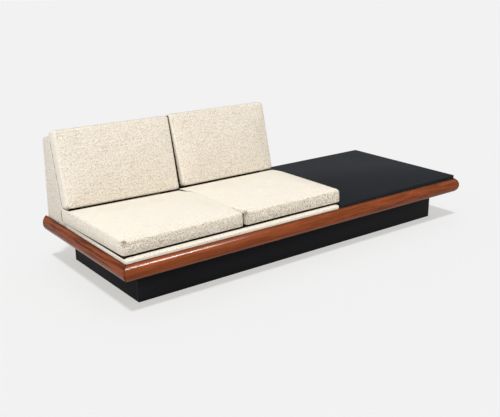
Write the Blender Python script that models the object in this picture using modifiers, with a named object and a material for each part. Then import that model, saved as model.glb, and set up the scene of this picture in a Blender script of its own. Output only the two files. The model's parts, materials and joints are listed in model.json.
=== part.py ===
"""Low platform sofa with a built-in table, as separate pieces.

Metres, +Z up. The origin is on the floor under the middle of the platform.
The seat faces -Y and the table fills the +X end.
"""
import math

import bmesh
import bpy
from mathutils import Vector

# Whole object
LENGTH = 2.184
DEPTH = 0.840
GAP = 0.0003
LEFT = -LENGTH / 2
RIGHT = LENGTH / 2
FRONT = -DEPTH / 2
REAR = DEPTH / 2

# Wood rails: a bullnose outer face, and a rabbet inside that carries the panel
RAIL_BOTTOM = 0.151
RAIL_HEIGHT = 0.0872
RAIL_BULGE = 0.037
RAIL_STOCK = 0.046
RAIL_LIP = 0.0225
RAIL_LIP_ROUND = 0.002
RAIL_STEPS = 22
RABBET_FLOOR = 0.207
REAR_RAIL_THICK = 0.022

# Plinth and the bearers that rest on it
PLINTH_INSET_SIDE = 0.1215
PLINTH_INSET_FRONT = 0.111
PLINTH_INSET_REAR = 0.087
PLINTH_BOARD = 0.019
PLINTH_TOP = RAIL_BOTTOM - GAP
CORNER_BLOCK = 0.045
CORNER_BLOCK_LOW = 0.012
BRACE_LOW = 0.045
BRACE_PLACES = (-0.33, 0.33)
BEARER_WIDTH = 0.042
BEARER_PLACES = (-0.90, -0.30, 0.30, 0.90)

# Platform panel and the seat deck on it
PANEL_TOP = 0.2235
DECK_LEFT = LEFT + 0.0235
DECK_RIGHT = LEFT + 1.2455
DECK_FRONT = FRONT + 0.0235
DECK_REAR = FRONT + 0.622
DECK_TOP = 0.2555
DECK_EDGE_ROUND = 0.010
DECK_BOARD_THICK = 0.012
DECK_BOARD_INSET = 0.0048
COVER_THICK = 0.0018

# Table
TABLE_LEFT = LEFT + 1.2488
TABLE_RIGHT = RIGHT - 0.028
TABLE_FRONT = FRONT + 0.0235
TABLE_REAR = REAR - 0.0215
TABLE_TOP = 0.254
TABLE_CORE_THICK = 0.019
LAMINATE_THICK = 0.0012
BATTEN_WIDTH = 0.060
BATTEN_INSET = 0.055

# Cushions
CUSHION_ROW_LEFT = LEFT + 0.0255
CUSHION_ROW_RIGHT = LEFT + 1.2485
CUSHION_SPACE = 0.003
CUSHION_WIDTH = (CUSHION_ROW_RIGHT - CUSHION_ROW_LEFT - CUSHION_SPACE) / 2
SEAT_FRONT = FRONT + 0.040
SEAT_DEPTH = 0.592
SEAT_THICK = 0.074
SEAT_CROWN = 0.022
SEAT_PRESS = 0.016
PRESS_START = 0.4
BACK_HEIGHT = 0.372
BACK_THICK = 0.068
BACK_CROWN = 0.030
BACK_LEAN = math.radians(14.55)
BACK_FOOT = 0.307
SIDE_DRAW = 0.007
EDGE_CELL = 0.034
CORE_INSET = 0.008
ZIP_LENGTH = 0.44
ZIP_WIDTH = 0.013
ZIP_CUT_DEPTH = 0.050

# Wedge back rest, set out from the plane that the back cushions lean on
LEAN_POINT_Y = FRONT + 0.6478
LEAN_POINT_Z = 0.3093
WEDGE_LEFT = LEFT + 0.0275
WEDGE_RIGHT = DECK_RIGHT
WEDGE_BOTTOM = PANEL_TOP + GAP
WEDGE_TOP = 0.634
WEDGE_REAR = FRONT + 0.832
WEDGE_REAR_LEAN = math.radians(2.3)
WEDGE_ROUND = 0.012
WEDGE_FOAM_THICK = 0.014
WEDGE_FRONT_PANEL_THICK = 0.006
WEDGE_REAR_PANEL_THICK = 0.004
WEDGE_BASE_THICK = 0.018
WEDGE_TOP_RAIL = 0.020
RIB_THICK = 0.018
ARC_STEPS = 5

# Bolts that hold the back rest down
BOLT_RADIUS = 0.004
BOLT_HOLE_RADIUS = BOLT_RADIUS + 0.0004
BOLT_HEAD_RADIUS = 0.010
BOLT_HEAD_HEIGHT = 0.0045
BOLT_PAST_NUT = 0.004
NUT_RADIUS = 0.0075
NUT_HEIGHT = 0.0065
BOLT_PLACES = (-0.82, -0.54, -0.10)
BOLT_Y = FRONT + 0.745
ROUND_STEPS = 16


def clear_scene():
    """Removes every object that is in the scene."""
    for obj in list(bpy.data.objects):
        bpy.data.objects.remove(obj)


def make_collection(name):
    """A collection linked to the scene."""
    made = bpy.data.collections.new(name)
    bpy.context.scene.collection.children.link(made)
    return made


def make_material(name, colour, roughness, metallic=0.0):
    """A Principled material of one colour."""
    made = bpy.data.materials.new(name)
    made.use_nodes = True
    shader = made.node_tree.nodes["Principled BSDF"]
    shader.inputs["Base Color"].default_value = (*colour, 1.0)
    shader.inputs["Roughness"].default_value = roughness
    shader.inputs["Metallic"].default_value = metallic
    return made


clear_scene()
SOFA = make_collection("platform_sofa")
CUTTERS = make_collection("cutters")
WALNUT = make_material("walnut", (0.216, 0.072, 0.030), 0.32)
PLYWOOD = make_material("plywood", (0.55, 0.38, 0.20), 0.7)
BLACK_PAINT = make_material("black_paint", (0.012, 0.013, 0.014), 0.55)
LAMINATE = make_material("black_laminate", (0.032, 0.034, 0.038), 0.5)
TWEED = make_material("oatmeal_tweed", (0.82, 0.74, 0.62), 0.95)
FOAM = make_material("foam", (0.80, 0.70, 0.42), 0.95)
STEEL = make_material("zinc_steel", (0.60, 0.60, 0.58), 0.35, 1.0)
NYLON = make_material("nylon_zip", (0.66, 0.58, 0.46), 0.6)


def place(name, mesh, finish, location=(0, 0, 0), rotation=(0, 0, 0), parent=None):
    """An object for one piece, with its finish and its place."""
    mesh.materials.append(finish)
    obj = bpy.data.objects.new(name, mesh)
    SOFA.objects.link(obj)
    obj.location = location
    obj.rotation_euler = rotation
    obj.parent = parent
    return obj


def make_cutter(obj, parent=None):
    """Turns an object into a hidden cutter."""
    SOFA.objects.unlink(obj)
    CUTTERS.objects.link(obj)
    obj.hide_render = True
    obj.display_type = "WIRE"
    obj.parent = parent
    return obj


def add_bevel(obj, width, segments):
    """Rounds the sharp edges of an object."""
    bevel = obj.modifiers.new("round_edges", "BEVEL")
    bevel.width = width
    bevel.segments = segments
    bevel.limit_method = "ANGLE"
    bevel.angle_limit = math.radians(40)


def add_boolean(obj, cutter, operation="DIFFERENCE"):
    """Cuts an object with another, or keeps what the two share."""
    cut = obj.modifiers.new("cut", "BOOLEAN")
    cut.operation = operation
    cut.object = cutter
    cut.solver = "EXACT"


def cube_mesh(name, size):
    """A box mesh of the given size about its own centre."""
    mesh = bpy.data.meshes.new(name)
    bm = bmesh.new()
    bmesh.ops.create_cube(bm, size=1.0)
    bmesh.ops.scale(bm, vec=size, verts=bm.verts)
    bm.to_mesh(mesh)
    bm.free()
    return mesh


def board(name, low, high, finish):
    """A board between two corners."""
    low = Vector(low)
    high = Vector(high)
    return place(name, cube_mesh(name, high - low), finish, (low + high) / 2)


def outline_piece(name, outlines, low_x, high_x, finish):
    """Outlines in the Y-Z plane, filled and given thickness from low_x to high_x."""
    curve = bpy.data.curves.new(name, "CURVE")
    curve.dimensions = "2D"
    curve.fill_mode = "BOTH"
    curve.extrude = (high_x - low_x) / 2
    for points in outlines:
        spline = curve.splines.new("POLY")
        spline.points.add(len(points) - 1)
        for corner, (y, z) in zip(spline.points, points):
            corner.co = (y, z, 0, 1)
        spline.use_cyclic_u = True
    mesh = curve_to_mesh(name, curve)
    upright = (math.pi / 2, 0, math.pi / 2)
    return place(name, mesh, finish, ((low_x + high_x) / 2, 0, 0), upright)


def curve_to_mesh(name, curve):
    """The closed mesh of a filled curve, with its caps welded on."""
    guide = bpy.data.objects.new(name + "_outline", curve)
    SOFA.objects.link(guide)
    view = bpy.context.evaluated_depsgraph_get()
    mesh = bpy.data.meshes.new_from_object(guide.evaluated_get(view))
    mesh.materials.clear()
    bpy.data.objects.remove(guide)
    bm = bmesh.new()
    bm.from_mesh(mesh)
    bmesh.ops.remove_doubles(bm, verts=bm.verts, dist=0.00001)
    bmesh.ops.recalc_face_normals(bm, faces=bm.faces)
    bm.to_mesh(mesh)
    bm.free()
    return mesh


def arc(centre, radius, start, end, steps):
    """Points on a circle from one angle to another."""
    angles = [start + (end - start) * i / steps for i in range(steps + 1)]
    return [(centre[0] + radius * math.cos(a), centre[1] + radius * math.sin(a)) for a in angles]


def circle(centre, radius, steps):
    """Points all the way round a circle."""
    return arc(centre, radius, 0, 2 * math.pi, steps)[:-1]


def rounded_corner(before, corner, after, radius):
    """The arc that rounds a corner between two straight runs."""
    corner = Vector(corner)
    to_before = (Vector(before) - corner).normalized()
    to_after = (Vector(after) - corner).normalized()
    half = to_before.angle(to_after) / 2
    centre = corner + (to_before + to_after).normalized() * (radius / math.sin(half))
    first = corner + to_before * (radius / math.tan(half)) - centre
    last = corner + to_after * (radius / math.tan(half)) - centre
    start = math.atan2(first.y, first.x)
    turn = (math.atan2(last.y, last.x) - start + math.pi) % (2 * math.pi) - math.pi
    return arc(centre, radius, start, start + turn, ARC_STEPS)


def rail_section():
    """The rail's outline as (depth from the outer face, height) points.

    The outer face is half an ellipse. It stops at the lip, where the rabbet drops to its floor.
    """
    middle = RAIL_BOTTOM + RAIL_HEIGHT / 2
    lip_angle = math.acos(1 - (RAIL_LIP - RAIL_LIP_ROUND) / RAIL_BULGE)
    points = []
    for i in range(RAIL_STEPS + 1):
        angle = lip_angle - (lip_angle + math.pi / 2) * i / RAIL_STEPS
        depth = RAIL_BULGE * (1 - math.cos(angle))
        points.append((depth, middle + RAIL_HEIGHT / 2 * math.sin(angle)))
    lip_top = points[0][1] - RAIL_LIP_ROUND / 2
    points += [(RAIL_STOCK, RAIL_BOTTOM), (RAIL_STOCK, RABBET_FLOOR), (RAIL_LIP, RABBET_FLOOR)]
    points.append((RAIL_LIP, lip_top))
    return points


def rail(name, length, mitres, location, turn):
    """A rail along local X with its outer face at local Y = 0, mitred where mitres says so."""
    start_mitre, end_mitre = mitres
    mesh = bpy.data.meshes.new(name)
    bm = bmesh.new()
    ring = [bm.verts.new((start_mitre * (d + GAP), d, z)) for d, z in rail_section()]
    face = bm.faces.new(ring)
    grown = bmesh.ops.extrude_face_region(bm, geom=[face])
    for vert in grown["geom"]:
        if isinstance(vert, bmesh.types.BMVert):
            vert.co.x = length - end_mitre * (vert.co.y + GAP)
    bm.normal_update()
    bmesh.ops.recalc_face_normals(bm, faces=bm.faces)
    bm.to_mesh(mesh)
    bm.free()
    mesh.shade_smooth()
    mesh.set_sharp_from_angle(angle=math.radians(30))
    return place(name, mesh, WALNUT, location, (0, 0, turn))


def make_rails():
    """Three bullnose rails, mitred at the front corners, and a plain rear rail between them."""
    rail("front_rail", LENGTH, (1, 1), (LEFT, FRONT, 0), 0)
    rail("left_rail", DEPTH, (0, 1), (LEFT, REAR, 0), -math.pi / 2)
    rail("right_rail", DEPTH, (1, 0), (RIGHT, FRONT, 0), math.pi / 2)
    lower = RIGHT - RAIL_STOCK - GAP
    upper = RIGHT - RAIL_LIP - GAP
    step = RABBET_FLOOR + GAP
    outline = [(-lower, RAIL_BOTTOM), (lower, RAIL_BOTTOM), (lower, step), (upper, step)]
    outline += [(upper, PANEL_TOP), (-upper, PANEL_TOP), (-upper, step), (-lower, step)]
    rear = outline_piece("rear_rail", [outline], -REAR_RAIL_THICK / 2, REAR_RAIL_THICK / 2, WALNUT)
    rear.rotation_euler = (math.pi / 2, 0, 0)
    rear.location = (0, REAR - REAR_RAIL_THICK / 2, 0)


def make_plinth():
    """The recessed plinth: four boards, corner blocks inside and two braces across."""
    left = LEFT + PLINTH_INSET_SIDE
    right = RIGHT - PLINTH_INSET_SIDE
    front = FRONT + PLINTH_INSET_FRONT
    rear = REAR - PLINTH_INSET_REAR
    inner_front = front + PLINTH_BOARD + GAP
    inner_rear = rear - PLINTH_BOARD - GAP
    board("plinth_front", (left, front, 0), (right, front + PLINTH_BOARD, PLINTH_TOP), BLACK_PAINT)
    board("plinth_rear", (left, rear - PLINTH_BOARD, 0), (right, rear, PLINTH_TOP), BLACK_PAINT)
    board("plinth_left", (left, inner_front, 0), (left + PLINTH_BOARD, inner_rear, PLINTH_TOP), BLACK_PAINT)
    board("plinth_right", (right - PLINTH_BOARD, inner_front, 0), (right, inner_rear, PLINTH_TOP), BLACK_PAINT)
    block_left = left + PLINTH_BOARD + GAP
    block_right = right - PLINTH_BOARD - GAP - CORNER_BLOCK
    number = 0
    for x in (block_left, block_right):
        for y in (inner_front, inner_rear - CORNER_BLOCK):
            number += 1
            low = (x, y, CORNER_BLOCK_LOW)
            high = (x + CORNER_BLOCK, y + CORNER_BLOCK, PLINTH_TOP)
            board(f"plinth_corner_block_{number}", low, high, PLYWOOD)
    for number, x in enumerate(BRACE_PLACES, 1):
        low = (x - PLINTH_BOARD / 2, inner_front, BRACE_LOW)
        high = (x + PLINTH_BOARD / 2, inner_rear, PLINTH_TOP)
        board(f"plinth_brace_{number}", low, high, PLYWOOD)


def bolt_hole_cutter(number, x):
    """A round cutter through the back rest's base board and the panel."""
    mesh = bpy.data.meshes.new(f"bolt_hole_{number}")
    bm = bmesh.new()
    bmesh.ops.create_cone(
        bm, cap_ends=True, segments=ROUND_STEPS,
        radius1=BOLT_HOLE_RADIUS, radius2=BOLT_HOLE_RADIUS, depth=4 * WEDGE_BASE_THICK,
    )
    bm.to_mesh(mesh)
    bm.free()
    return make_cutter(place(mesh.name, mesh, STEEL, (x, BOLT_Y, PANEL_TOP)))


def make_platform(holes):
    """The bearers across the plinth and the panel that they carry inside the rails."""
    rear = REAR - REAR_RAIL_THICK - GAP
    for number, x in enumerate(BEARER_PLACES, 1):
        low = (x - BEARER_WIDTH / 2, FRONT + RAIL_STOCK + GAP, RAIL_BOTTOM)
        high = (x + BEARER_WIDTH / 2, rear, RABBET_FLOOR)
        board(f"bearer_{number}", low, high, PLYWOOD)
    low = (LEFT + RAIL_LIP + GAP, FRONT + RAIL_LIP + GAP, RABBET_FLOOR + GAP)
    high = (RIGHT - RAIL_LIP - GAP, rear, PANEL_TOP)
    panel = board("platform_panel", low, high, PLYWOOD)
    for hole in holes:
        add_boolean(panel, hole)


def make_deck():
    """The seat deck: a board and foam inside a cover that is open underneath."""
    bottom = PANEL_TOP + GAP
    low = Vector((DECK_LEFT, DECK_FRONT, bottom))
    high = Vector((DECK_RIGHT, DECK_REAR, DECK_TOP))
    mesh = cube_mesh("deck_cover", high - low)
    bm = bmesh.new()
    bm.from_mesh(mesh)
    under = [face for face in bm.faces if face.normal.z < -0.5]
    bmesh.ops.delete(bm, geom=under, context="FACES")
    bm.to_mesh(mesh)
    bm.free()
    cover = place("deck_cover", mesh, TWEED, (low + high) / 2)
    add_bevel(cover, DECK_EDGE_ROUND, 3)
    wall = cover.modifiers.new("wall", "SOLIDIFY")
    wall.thickness = COVER_THICK
    wall.offset = -1
    wall.use_even_offset = True
    board_inset = Vector((DECK_BOARD_INSET, DECK_BOARD_INSET, 0))
    board_high = high - board_inset
    board_high.z = bottom + DECK_BOARD_THICK
    board("deck_board", low + board_inset, board_high, PLYWOOD)
    skin = COVER_THICK + GAP
    foam_low = (low.x + skin, low.y + skin, board_high.z + GAP)
    foam = board("deck_foam", foam_low, high - Vector((skin, skin, skin)), FOAM)
    add_bevel(foam, DECK_EDGE_ROUND - COVER_THICK, 2)


def make_table():
    """The table: a core on two battens, with laminate on its top and its four edges."""
    slab_top = TABLE_TOP - LAMINATE_THICK
    core_top = slab_top - GAP
    core_bottom = core_top - TABLE_CORE_THICK
    skin = LAMINATE_THICK + GAP
    low = (TABLE_LEFT + skin, TABLE_FRONT + skin, core_bottom)
    high = (TABLE_RIGHT - skin, TABLE_REAR - skin, core_top)
    board("table_core", low, high, PLYWOOD)
    board("table_laminate", (TABLE_LEFT, TABLE_FRONT, slab_top), (TABLE_RIGHT, TABLE_REAR, TABLE_TOP), LAMINATE)
    front_high = (TABLE_RIGHT, TABLE_FRONT + LAMINATE_THICK, core_top)
    board("table_edge_front", (TABLE_LEFT, TABLE_FRONT, core_bottom), front_high, LAMINATE)
    rear_low = (TABLE_LEFT, TABLE_REAR - LAMINATE_THICK, core_bottom)
    board("table_edge_rear", rear_low, (TABLE_RIGHT, TABLE_REAR, core_top), LAMINATE)
    left_high = (TABLE_LEFT + LAMINATE_THICK, high[1], core_top)
    board("table_edge_left", (TABLE_LEFT, low[1], core_bottom), left_high, LAMINATE)
    right_low = (TABLE_RIGHT - LAMINATE_THICK, low[1], core_bottom)
    board("table_edge_right", right_low, (TABLE_RIGHT, high[1], core_top), LAMINATE)
    for side, y in (("front", TABLE_FRONT + BATTEN_INSET), ("rear", TABLE_REAR - BATTEN_INSET - BATTEN_WIDTH)):
        batten_low = (TABLE_LEFT + BATTEN_INSET, y, PANEL_TOP + GAP)
        batten_high = (TABLE_RIGHT - BATTEN_INSET, y + BATTEN_WIDTH, core_bottom - GAP)
        board(f"table_batten_{side}", batten_low, batten_high, PLYWOOD)


def wedge_front_y(z, inset):
    """Y of the back rest's front face at height z, moved in by inset square to the face."""
    return LEAN_POINT_Y + (z - LEAN_POINT_Z) * math.tan(BACK_LEAN) + inset / math.cos(BACK_LEAN)


def wedge_rear_y(z, inset):
    """Y of the back rest's rear face at height z, moved in by inset square to the face."""
    back = WEDGE_REAR - (z - WEDGE_BOTTOM) * math.tan(WEDGE_REAR_LEAN)
    return back - inset / math.cos(WEDGE_REAR_LEAN)


def wedge_corners(bottom, top, front_inset, rear_inset):
    """Four corners of the wedge: front bottom, front top, rear top, rear bottom."""
    return [
        (wedge_front_y(bottom, front_inset), bottom),
        (wedge_front_y(top, front_inset), top),
        (wedge_rear_y(top, rear_inset), top),
        (wedge_rear_y(bottom, rear_inset), bottom),
    ]


def wedge_outline(inset, radius):
    """The wedge's outline from front bottom to rear bottom, with both top corners rounded."""
    corners = wedge_corners(WEDGE_BOTTOM, WEDGE_TOP - inset, inset, inset)
    points = [corners[0]]
    points += rounded_corner(corners[0], corners[1], corners[2], radius)
    points += rounded_corner(corners[1], corners[2], corners[3], radius)
    points.append(corners[3])
    return points


def make_back_frame(holes):
    """The wedge's inner frame: base board, ribs, top rail, two panels and the front foam."""
    low_x = WEDGE_LEFT + COVER_THICK + GAP
    high_x = WEDGE_RIGHT - COVER_THICK - GAP
    skin = COVER_THICK + GAP
    panel_front = skin + WEDGE_FOAM_THICK + GAP
    frame_front = panel_front + WEDGE_FRONT_PANEL_THICK + GAP
    frame_rear = skin + WEDGE_REAR_PANEL_THICK + GAP
    inner_top = WEDGE_TOP - skin
    base_top = WEDGE_BOTTOM + WEDGE_BASE_THICK
    rail_bottom = inner_top - WEDGE_TOP_RAIL
    base = outline_piece(
        "back_base_board", [wedge_corners(WEDGE_BOTTOM, base_top, frame_front, frame_rear)], low_x, high_x, PLYWOOD
    )
    for hole in holes:
        add_boolean(base, hole)
    top_rail = wedge_corners(rail_bottom, inner_top, frame_front, frame_rear)
    top_rail[2:3] = rounded_corner(top_rail[1], top_rail[2], top_rail[3], WEDGE_ROUND)
    outline_piece("back_top_rail", [top_rail], low_x, high_x, PLYWOOD)
    rib = wedge_corners(base_top + GAP, rail_bottom - GAP, frame_front, frame_rear)
    middle = (low_x + high_x) / 2
    rib_places = (("left", low_x), ("middle", middle - RIB_THICK / 2), ("right", high_x - RIB_THICK))
    for side, x in rib_places:
        outline_piece(f"back_rib_{side}", [rib], x, x + RIB_THICK, PLYWOOD)
    sheet_top = inner_top - WEDGE_ROUND
    front_low = [(wedge_front_y(z, panel_front), z) for z in (WEDGE_BOTTOM, sheet_top)]
    front_high = [(wedge_front_y(z, frame_front - GAP), z) for z in (sheet_top, WEDGE_BOTTOM)]
    outline_piece("back_front_panel", [front_low + front_high], low_x, high_x, PLYWOOD)
    foam_low = [(wedge_front_y(z, skin), z) for z in (WEDGE_BOTTOM, sheet_top)]
    foam_high = [(wedge_front_y(z, panel_front - GAP), z) for z in (sheet_top, WEDGE_BOTTOM)]
    outline_piece("back_front_foam", [foam_low + foam_high], low_x, high_x, FOAM)
    rear_low = [(wedge_rear_y(z, frame_rear - GAP), z) for z in (WEDGE_BOTTOM, sheet_top)]
    rear_high = [(wedge_rear_y(z, skin), z) for z in (sheet_top, WEDGE_BOTTOM)]
    outline_piece("back_rear_panel", [rear_low + rear_high], low_x, high_x, PLYWOOD)


def make_back_covers():
    """The wedge's fabric: one wrap over front, top and rear, and a panel at each end."""
    outer = wedge_outline(0, WEDGE_ROUND)
    inner = wedge_outline(COVER_THICK, WEDGE_ROUND - COVER_THICK)
    wrap = outer + inner[::-1]
    outline_piece("back_wrap", [wrap], WEDGE_LEFT, WEDGE_RIGHT, TWEED)
    end = wedge_outline(COVER_THICK + GAP, WEDGE_ROUND - COVER_THICK - GAP)
    outline_piece("back_end_left", [end], WEDGE_LEFT, WEDGE_LEFT + COVER_THICK, TWEED)
    outline_piece("back_end_right", [end], WEDGE_RIGHT - COVER_THICK, WEDGE_RIGHT, TWEED)


def turned_piece(name, profile, finish, location):
    """A turned piece from (radius, height) points that run down its outer side."""
    mesh = bpy.data.meshes.new(name)
    edges = [(i, i + 1) for i in range(len(profile) - 1)]
    mesh.from_pydata([(r, 0, z) for r, z in profile], edges, [])
    obj = place(name, mesh, finish, location)
    turn = obj.modifiers.new("turn", "SCREW")
    turn.steps = ROUND_STEPS
    turn.render_steps = ROUND_STEPS
    turn.use_merge_vertices = True
    turn.merge_threshold = 0.00001
    return obj


def make_bolts():
    """Carriage bolts down through the base board and panel, each with a nut under the panel."""
    head_seat = WEDGE_BOTTOM + WEDGE_BASE_THICK + GAP
    nut_top = RABBET_FLOOR
    tip = nut_top - NUT_HEIGHT - BOLT_PAST_NUT - head_seat
    dome = [
        (BOLT_HEAD_RADIUS * math.sin(a), BOLT_HEAD_HEIGHT * math.cos(a))
        for a in (0.0, 0.4, 0.8, 1.2, math.pi / 2)
    ]
    dome[0] = (0.0, BOLT_HEAD_HEIGHT)
    dome[-1] = (BOLT_HEAD_RADIUS, 0.0)
    profile = dome + [(BOLT_RADIUS, 0.0), (BOLT_RADIUS, tip), (0.0, tip)]
    hexagon = circle((0, 0), NUT_RADIUS, 6)
    bore = circle((0, 0), BOLT_HOLE_RADIUS, ROUND_STEPS)
    for number, x in enumerate(BOLT_PLACES, 1):
        bolt = turned_piece(f"back_bolt_{number}", profile, STEEL, (x, BOLT_Y, head_seat))
        bolt.data.shade_smooth()
        nut = outline_piece(f"back_nut_{number}", [hexagon, bore], -NUT_HEIGHT / 2, NUT_HEIGHT / 2, STEEL)
        nut.rotation_euler = (0, 0, 0)
        nut.location = (x, BOLT_Y, nut_top - NUT_HEIGHT / 2)


def cushion_cage(name, size, cells, crown, press, inset):
    """A coarse cushion cage: a box cut into cells, crowned on top and drawn in at its sides.

    Local X is the width and Y the depth, both about the middle, and Z is the thickness from the flat side.
    cells holds the cutting places across, along and through the box, as distances from its low sides.
    """
    width, depth, thick = (side - 2 * inset for side in size)
    mesh = cube_mesh(name, (width, depth, thick))
    bm = bmesh.new()
    bm.from_mesh(mesh)
    bmesh.ops.translate(bm, vec=(0, 0, thick / 2), verts=bm.verts)
    starts = (-width / 2, -depth / 2, 0.0)
    for axis, places in enumerate(cells):
        for distance in places:
            point = Vector()
            point[axis] = starts[axis] + distance
            normal = Vector()
            normal[axis] = 1.0
            everything = bm.verts[:] + bm.edges[:] + bm.faces[:]
            bmesh.ops.bisect_plane(bm, geom=everything, dist=0.00001, plane_co=point, plane_no=normal)
    for vert in bm.verts:
        u = vert.co.x / (width / 2)
        v = vert.co.y / (depth / 2)
        w = vert.co.z / thick
        swell = crown * (1 - u * u) * (1 - v * v)
        sink = press * max(0.0, (v - PRESS_START) / (1 - PRESS_START)) ** 2
        vert.co.x -= SIDE_DRAW * u * (1 - v * v)
        vert.co.y -= SIDE_DRAW * v * (1 - u * u)
        vert.co.z += w * (swell - sink) + inset
    bm.to_mesh(mesh)
    bm.free()
    mesh.shade_smooth()
    return mesh


def side_cells(length, inner_cells):
    """Cutting places along one side: a narrow cell at each end and equal cells between."""
    inner = length - 2 * EDGE_CELL
    return [EDGE_CELL + inner * i / inner_cells for i in range(inner_cells + 1)]


def add_soft_form(obj):
    """Rounds a cage into a soft form."""
    smooth = obj.modifiers.new("soft_form", "SUBSURF")
    smooth.levels = 1
    smooth.render_levels = 1


def add_cover_wall(obj):
    """Gives a soft form the thickness of its cover."""
    add_soft_form(obj)
    wall = obj.modifiers.new("wall", "SOLIDIFY")
    wall.thickness = COVER_THICK
    wall.offset = -1


def make_cushion(name, size, crown, press, zip_side, location, tilt):
    """A loose cushion: a sewn cover with a zip slot, the zip in it, and the wrapped foam core."""
    width, depth, thick = size
    seat = bpy.data.objects.new(name + "_place", None)
    SOFA.objects.link(seat)
    seat.location = location
    seat.rotation_euler = (tilt, 0, 0)
    cells = (side_cells(width, 4), side_cells(depth, 4), (thick / 3, 2 * thick / 3))
    cage = cushion_cage(name + "_cover", size, cells, crown, press, 0.0)
    cover = place(name + "_cover", cage, TWEED, parent=seat)
    zip_mesh = cage.copy()
    zip_mesh.materials.clear()
    closer = place(name + "_zip", zip_mesh, NYLON, parent=seat)
    for obj, operation, slack in ((cover, "DIFFERENCE", 0.0), (closer, "INTERSECT", 2 * GAP)):
        add_cover_wall(obj)
        slot = (ZIP_LENGTH - slack, ZIP_CUT_DEPTH, ZIP_WIDTH - slack)
        mesh = cube_mesh(obj.name + "_slot", slot)
        cutter = place(mesh.name, mesh, NYLON, (0, zip_side * depth / 2, thick / 2))
        add_boolean(obj, make_cutter(cutter, seat), operation)
    core_size = (width - 2 * CORE_INSET, depth - 2 * CORE_INSET, thick - 2 * CORE_INSET)
    core_cells = (side_cells(core_size[0], 2), side_cells(core_size[1], 2), (core_size[2] / 2,))
    core = cushion_cage(name + "_core", size, core_cells, crown, press, CORE_INSET)
    add_soft_form(place(name + "_core", core, FOAM, parent=seat))


def make_cushions():
    """Two seat cushions side by side, and two back cushions that stand on them and lean back."""
    seat_size = (CUSHION_WIDTH, SEAT_DEPTH, SEAT_THICK)
    back_size = (CUSHION_WIDTH, BACK_HEIGHT, BACK_THICK)
    lean = math.pi / 2 - BACK_LEAN
    foot_y = wedge_front_y(BACK_FOOT, -2 * GAP)
    back_y = foot_y + BACK_HEIGHT / 2 * math.sin(BACK_LEAN)
    back_z = BACK_FOOT + BACK_HEIGHT / 2 * math.cos(BACK_LEAN)
    seat_z = DECK_TOP + GAP
    for side, low_x in (("left", CUSHION_ROW_LEFT), ("right", CUSHION_ROW_RIGHT - CUSHION_WIDTH)):
        x = low_x + CUSHION_WIDTH / 2
        seat_place = (x, SEAT_FRONT + SEAT_DEPTH / 2, seat_z)
        make_cushion(f"seat_{side}", seat_size, SEAT_CROWN, SEAT_PRESS, 1, seat_place, 0.0)
        make_cushion(f"back_{side}", back_size, BACK_CROWN, 0.0, -1, (x, back_y, back_z), lean)


def main():
    """Builds every piece of the sofa."""
    holes = [bolt_hole_cutter(number, x) for number, x in enumerate(BOLT_PLACES, 1)]
    make_plinth()
    make_rails()
    make_platform(holes)
    make_deck()
    make_table()
    make_back_frame(holes)
    make_back_covers()
    make_bolts()
    make_cushions()


main()
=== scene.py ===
"""Looks of a low platform sofa: tweed cushions, wood rails, black table and plinth, and a pale stage.

Metres, +Z up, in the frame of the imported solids: the seat faces -Y and the table fills the +X end.
"""
import itertools
import json
import math

import bmesh
import bpy
import numpy as np
from mathutils import Matrix, Vector


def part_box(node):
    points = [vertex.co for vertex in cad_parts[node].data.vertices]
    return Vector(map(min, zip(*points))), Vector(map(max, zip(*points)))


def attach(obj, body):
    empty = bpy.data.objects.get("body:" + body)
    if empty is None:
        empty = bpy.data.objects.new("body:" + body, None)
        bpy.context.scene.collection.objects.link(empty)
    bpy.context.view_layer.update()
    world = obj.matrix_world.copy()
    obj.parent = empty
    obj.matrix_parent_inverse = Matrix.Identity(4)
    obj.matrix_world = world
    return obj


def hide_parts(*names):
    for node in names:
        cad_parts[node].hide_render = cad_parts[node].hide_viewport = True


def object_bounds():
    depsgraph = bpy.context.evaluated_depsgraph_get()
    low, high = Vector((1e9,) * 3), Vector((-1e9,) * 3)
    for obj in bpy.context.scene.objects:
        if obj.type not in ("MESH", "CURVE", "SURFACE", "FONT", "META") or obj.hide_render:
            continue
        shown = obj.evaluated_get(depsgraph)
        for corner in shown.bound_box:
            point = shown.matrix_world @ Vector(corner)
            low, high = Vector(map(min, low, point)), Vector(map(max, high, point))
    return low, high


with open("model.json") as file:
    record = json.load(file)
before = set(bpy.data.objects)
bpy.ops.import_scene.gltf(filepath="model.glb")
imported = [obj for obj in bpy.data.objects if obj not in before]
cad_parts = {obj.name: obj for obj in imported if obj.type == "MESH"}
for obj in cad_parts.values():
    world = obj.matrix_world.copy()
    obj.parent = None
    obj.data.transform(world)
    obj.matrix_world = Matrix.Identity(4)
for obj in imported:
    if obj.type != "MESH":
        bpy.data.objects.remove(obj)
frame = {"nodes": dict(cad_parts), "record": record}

bl_info = {
    "name": "Platform sofa looks",
    "version": (1, 0, 0),
    "blender": (4, 5, 0),
    "location": "View3D > Sidebar > Sofa",
    "description": "Upholstery, wood, table, plinth and stage of a low platform sofa",
    "category": "Object",
}

# Places read from the solids
CAD_LOW, CAD_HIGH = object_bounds()
LEFT, FRONT = CAD_LOW.x, CAD_LOW.y
RIGHT, REAR = CAD_HIGH.x, CAD_HIGH.y
RAIL_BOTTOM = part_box("front_rail")[0].z
RAIL_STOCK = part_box("front_rail")[1].y - FRONT
DECK_LOW, DECK_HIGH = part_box("deck_cover")
WEDGE_LOW, WEDGE_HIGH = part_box("back_wrap")
TABLE_LOW, TABLE_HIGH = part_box("table_laminate")
SEED = 7
SIDES = (("left", -1), ("right", 1))

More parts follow.
